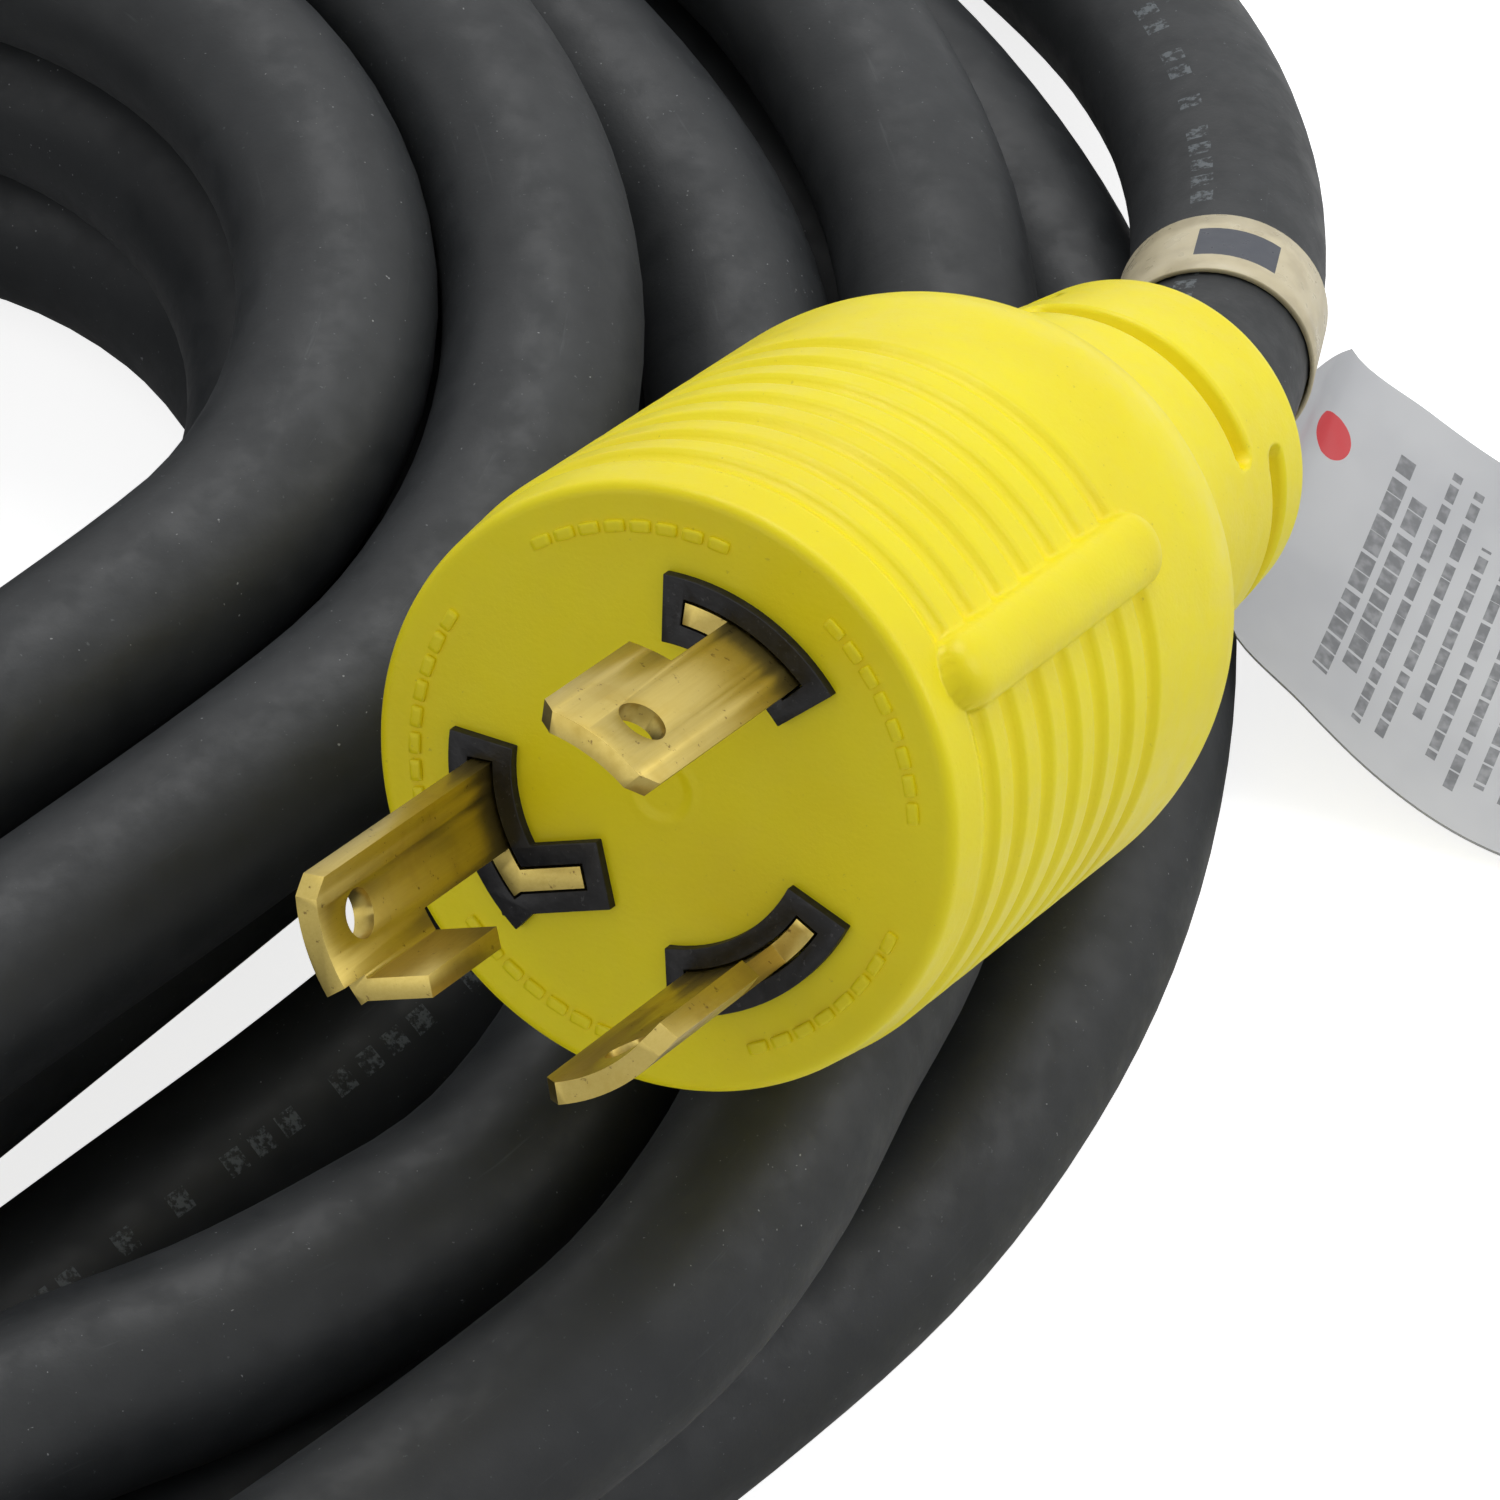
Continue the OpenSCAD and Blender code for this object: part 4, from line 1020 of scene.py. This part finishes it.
def strap_band():
    """Thin band round the cable where the lead runs straight."""
    start, end = np.array(LEAD[1]) + COIL_CENTRE, np.array(LEAD[2]) + COIL_CENTRE
    along = unit(end - start)
    side, up = side_and_up(along)
    middle = (start + end) / 2
    angles = np.arange(STRAP_SIDES) * 2 * pi / STRAP_SIDES
    outer = CABLE_R + 0.00058
    inner = CABLE_R + 0.00012
    section = [
        (-0.5, inner), (-0.5, outer - 0.0001), (-0.494, outer), (-0.25, outer), (0, outer),
        (0.25, outer), (0.494, outer), (0.5, outer - 0.0001), (0.5, inner), (-0.5, inner),
    ]
    rings = []
    for at, radius in section:
        wave = 0.00006 * np.sin(3 * angles + 1.0) * (radius > inner + 0.0001)
        circle = np.cos(angles)[:, None] * side + np.sin(angles)[:, None] * up
        rings.append(middle + at * STRAP_WIDTH * along + (radius + wave)[:, None] * circle)
    mesh = grid_mesh("label_strap_band", np.array(rings))
    unwrap(mesh, "band", STRAP_SIDES, lambda i, k: (k / STRAP_SIDES, section[i][0] + 0.5))
    return welded_piece(mesh)


def tag_film_sheet():
    """Film tag that flares out of the strap, bends down and lies on the floor."""
    middles = np.array(TAG_ROUTE)
    halves = np.array([TAG_NECK, TAG_HALF * 0.65] + [TAG_HALF] * (len(TAG_ROUTE) - 2))
    line, _ = spaced(middles, np.zeros(len(middles)), 0.0012)
    walked = walked_along(middles)
    marks = np.linspace(0, walked[-1], len(line))
    half = read_at(marks, walked, halves)
    across = np.linspace(-1, 1, TAG_COLUMNS)
    rings = []
    for middle, reach, mark in zip(line, half, marks):
        camber = 0.0011 * (across ** 2 - 1) * (1 - smoothstep(mark / walked[-1]))
        drawn_in = 1 - 0.30 * (1 - smoothstep(mark / 0.040))
        spread = np.where(across < 0, across * drawn_in, across)
        top = middle + spread[:, None] * reach
        top[:, 2] = np.maximum(top[:, 2] + (camber + TAG_THICK / 2), TAG_THICK)
        low = top[::-1] - np.array([0, 0, TAG_THICK])
        rings.append(np.vstack([top, low]) + COIL_CENTRE)
    mesh = grid_mesh("flag_tag_film", np.array(rings), caps=(True, True))
    columns = np.linspace(0, 1, TAG_COLUMNS)
    columns = np.r_[columns, columns[::-1], columns[:1]]
    unwrap(mesh, "film", 2 * TAG_COLUMNS, lambda i, k: (marks[i], columns[k]))
    return welded_piece(mesh)


strap = stand_for(strap_band(), "strap_film", "label_strap")
tag = stand_for(tag_film_sheet(), "tag_film", "flag_tag")
tag.data.set_sharp_from_angle(angle=radians(50))

# ---------- tie ----------
# Length of the free end, where on the loop it starts, and the rounding of its tip
TIE_LAP = 0.058
TIE_LAP_FROM = 0.60
LAP_ROUND = 0.009
LAP_NARROWER = 0.0006
WEB_EDGE = 0.0004


def drawn_tight(points):
    """Convex outline, anticlockwise, round points of a plane."""
    order = sorted((round(float(x), 7), round(float(y), 7)) for x, y in points)
    sides = []
    for run in (order, order[::-1]):
        kept = []
        for p in run:
            while len(kept) > 1:
                (ax, ay), (bx, by) = kept[-2], kept[-1]
                if (bx - ax) * (p[1] - ay) - (by - ay) * (p[0] - ax) > 0:
                    break
                kept.pop()
            kept.append(p)
        sides += kept[:-1]
    return np.array(sides)


def tie_loop(count=240):
    """Middle line of the tie in its plane, out from the far end and up, with its normals."""
    out, across = across_tie(coil_path)
    near = (out > 0.02) & (np.abs(across) < TIE_WIDTH / 2 + 0.002)
    centres = np.stack([out[near], coil_path[near, 2]], axis=1)
    angles = np.linspace(0, 2 * pi, 60, endpoint=False)
    reach = CABLE_R + TIE_GAP + TIE_THICK / 2
    circles = centres[:, None] + reach * np.stack([np.cos(angles), np.sin(angles)], axis=1)[None]
    circles = circles.reshape(-1, 2)
    circles[:, 1] = np.maximum(circles[:, 1], TIE_GAP + TIE_THICK / 2)
    line = drawn_tight(circles)
    line = np.vstack([line, line[:1]])
    walked = walked_along(line)
    marks = np.linspace(0, walked[-1], count, endpoint=False)
    even = read_at(marks, walked, line)
    for _ in range(2):
        even = 0.5 * even + 0.25 * (np.roll(even, 1, axis=0) + np.roll(even, -1, axis=0))
    tangent = unit(np.roll(even, -1, axis=0) - np.roll(even, 1, axis=0))
    return even, np.stack([tangent[:, 1], -tangent[:, 0]], axis=1), marks


def band_place(flat, across):
    """Points of the tie's plane, and their places across it, in the row frame."""
    far_end = COIL_CENTRE[:2] + COIL_RUN * RUN_DIR
    ground = far_end + flat[..., :1] * RUN_DIR + across[..., None] * SIDE_DIR
    return np.concatenate([ground, flat[..., 1:]], axis=-1)


def webbing(name, line, normal, marks, half_width, closed):
    """Webbing along a line, with rounded edges and its own UV map in metres."""
    half = TIE_THICK / 2
    side = half - WEB_EDGE
    steps = np.linspace(-1, 1, 9)
    section = [(-1, -side), (-1, side)] + [(t, half) for t in steps]
    section += [(1, side), (1, -side)] + [(t, -half) for t in steps[::-1]]
    across, height = np.array(section).T
    drawn_in = WEB_EDGE * (np.abs(height) > half - WEB_EDGE / 2)
    rings = []
    for middle, face, reach in zip(line, normal, half_width):
        rings.append(band_place(middle + height[:, None] * face, across * (reach - drawn_in)))
    if closed:
        rings.append(rings[0])
        marks = np.r_[marks, marks[-1] + marks[1]]
    mesh = grid_mesh(name, np.array(rings), caps=(not closed, not closed))
    around = len(section)
    unwrap(mesh, "webbing", around, lambda i, k: (marks[i], (across[k % around] + 1) / 2))
    return welded_piece(mesh)


tie_line, tie_normal, tie_marks = tie_loop()
tie_half = np.full(len(tie_line), TIE_WIDTH / 2)
band = webbing("coil_tie_band", tie_line, tie_normal, tie_marks, tie_half, True)

# The free end lies over the band, hooked to it, and is rounded off
lap_first = int(TIE_LAP_FROM * len(tie_line))
lap_count = int(TIE_LAP / tie_marks[1])
lap = (lap_first + np.arange(lap_count)) % len(tie_line)
lap_walked = np.arange(lap_count) * tie_marks[1]
lap_rise = (TIE_THICK + 0.0001) * smoothstep(lap_walked / LAP_ROUND)
lap_line = tie_line[lap] + lap_rise[:, None] * tie_normal[lap]
lap_left = np.clip(lap_walked[-1] - lap_walked, 0, LAP_ROUND)
lap_half = TIE_WIDTH / 2 - LAP_NARROWER - rounding(LAP_ROUND, LAP_ROUND - lap_left)
lap_end = webbing("coil_tie_end", lap_line, tie_normal[lap], lap_walked, lap_half, False)
for piece in (band, lap_end):
    piece.data.set_sharp_from_angle(angle=radians(60))
stand_for(band, "tie_fabric", "coil_tie")
stand_for(lap_end, "tie_fabric")

# Box of stitches that holds the free end's hook patch: parts of its length and half width
STITCH_BOX = np.array([(0.20, -0.74), (0.20, 0.74), (0.50, 0.74), (0.50, -0.74), (0.20, -0.74)])
STITCH_STEPS = np.linspace(0, 1, 13)
spots = []
for u, v in (a + (b - a) * t for a, b in zip(STITCH_BOX, STITCH_BOX[1:]) for t in STITCH_STEPS):
    i = int(u * lap_count)
    spot = lap_line[i] + (TIE_THICK / 2 + 0.00005) * tie_normal[lap[i]]
    spots.append(band_place(spot, np.array(v * TIE_WIDTH / 2)).tolist())
thread = bpy.data.meshes.new("stitch_line")
thread.from_pydata(spots, [(i, i + 1) for i in range(len(spots) - 1)], [])
stitches = grown("tie_stitches", thread, stitch_tree(), Matrix.Identity(4), "tie_fabric",
                 Pitch=0.0019, Length=0.0014, Width=0.0005, Height=0.0004)

finish(cable, "cable_jacket")
CORD_NODES = ("cable_lead", "coil_base", "coil_upper", "coil_inner", "cable_tail")
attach(cable, "root")
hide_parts(*CORD_NODES)

# ---------- floor, lamps and world ----------
FLOOR_HALF = 4
FLOOR_UNDER = 0.0001
# Own brightness of the floor and of the sky, as the camera sees them, and the sky's light
FLOOR_GLOW = 0.80
SKY_SEEN = 1.0
SKY_LIGHT = 0.34
LAMP_AIM = Vector((0.08, -0.05, 0.03))
# Name, place, size and power of each lamp
SOFTBOXES = (
    ("overhead_box", (0.25, 0.75, 1.25), (1.2, 0.8), 10.5),
    ("side_box", (1.15, 0.05, 0.75), (0.7, 1.0), 4.2),
    ("front_box", (-0.75, -0.85, 0.75), (0.9, 0.9), 1.8),
)

floor_mesh = bpy.data.meshes.new("floor")
floor_corners = [(x * FLOOR_HALF, y * FLOOR_HALF, 0) for x, y in ((-1, -1), (1, -1), (1, 1), (-1, 1))]
floor_mesh.from_pydata(floor_corners, [], [(0, 1, 2, 3)])
floor = new_object(floor_mesh, smooth=False)
floor.location = (0, 0, -FLOOR_UNDER)
paper = Finish("white_sweep", (0.86, 0.86, 0.86), 0.7)
paper.feed("Specular IOR Level", 0.1)
ray = paper.add("ShaderNodeLightPath")
paper.feed("Emission Color", (1, 1, 1, 1))
paper.feed("Emission Strength", paper.times(ray.outputs["Is Camera Ray"], FLOOR_GLOW))
floor_mesh.materials.append(paper.material)

for name, place, size, watts in SOFTBOXES:
    lamp = bpy.data.lights.new(name, "AREA")
    lamp.shape = "RECTANGLE"
    lamp.size, lamp.size_y = size
    lamp.energy = watts
    holder = new_object(lamp, smooth=False)
    holder.location = place
    holder.rotation_euler = (LAMP_AIM - Vector(place)).to_track_quat("-Z", "Y").to_euler()

world = bpy.data.worlds.new("studio")
bpy.context.scene.world = world
world.use_nodes = True
tree = world.node_tree
rays = new_node(tree, "ShaderNodeLightPath", {}).outputs
# The sky is bright to the camera, in mirrors and through glass, and lights more dimly
seen = rays["Is Camera Ray"]
for kind in ("Is Glossy Ray", "Is Transmission Ray"):
    seen = new_node(tree, "ShaderNodeMath", {0: seen, 1: rays[kind]}, operation="MAXIMUM").outputs[0]
levels = {"Value": seen, "To Min": SKY_LIGHT, "To Max": SKY_SEEN}
strength = new_node(tree, "ShaderNodeMapRange", levels).outputs["Result"]
feed(tree, tree.nodes["Background"], {"Color": (1, 1, 1, 1), "Strength": strength})

bpy.context.scene.view_settings.view_transform = "Standard"
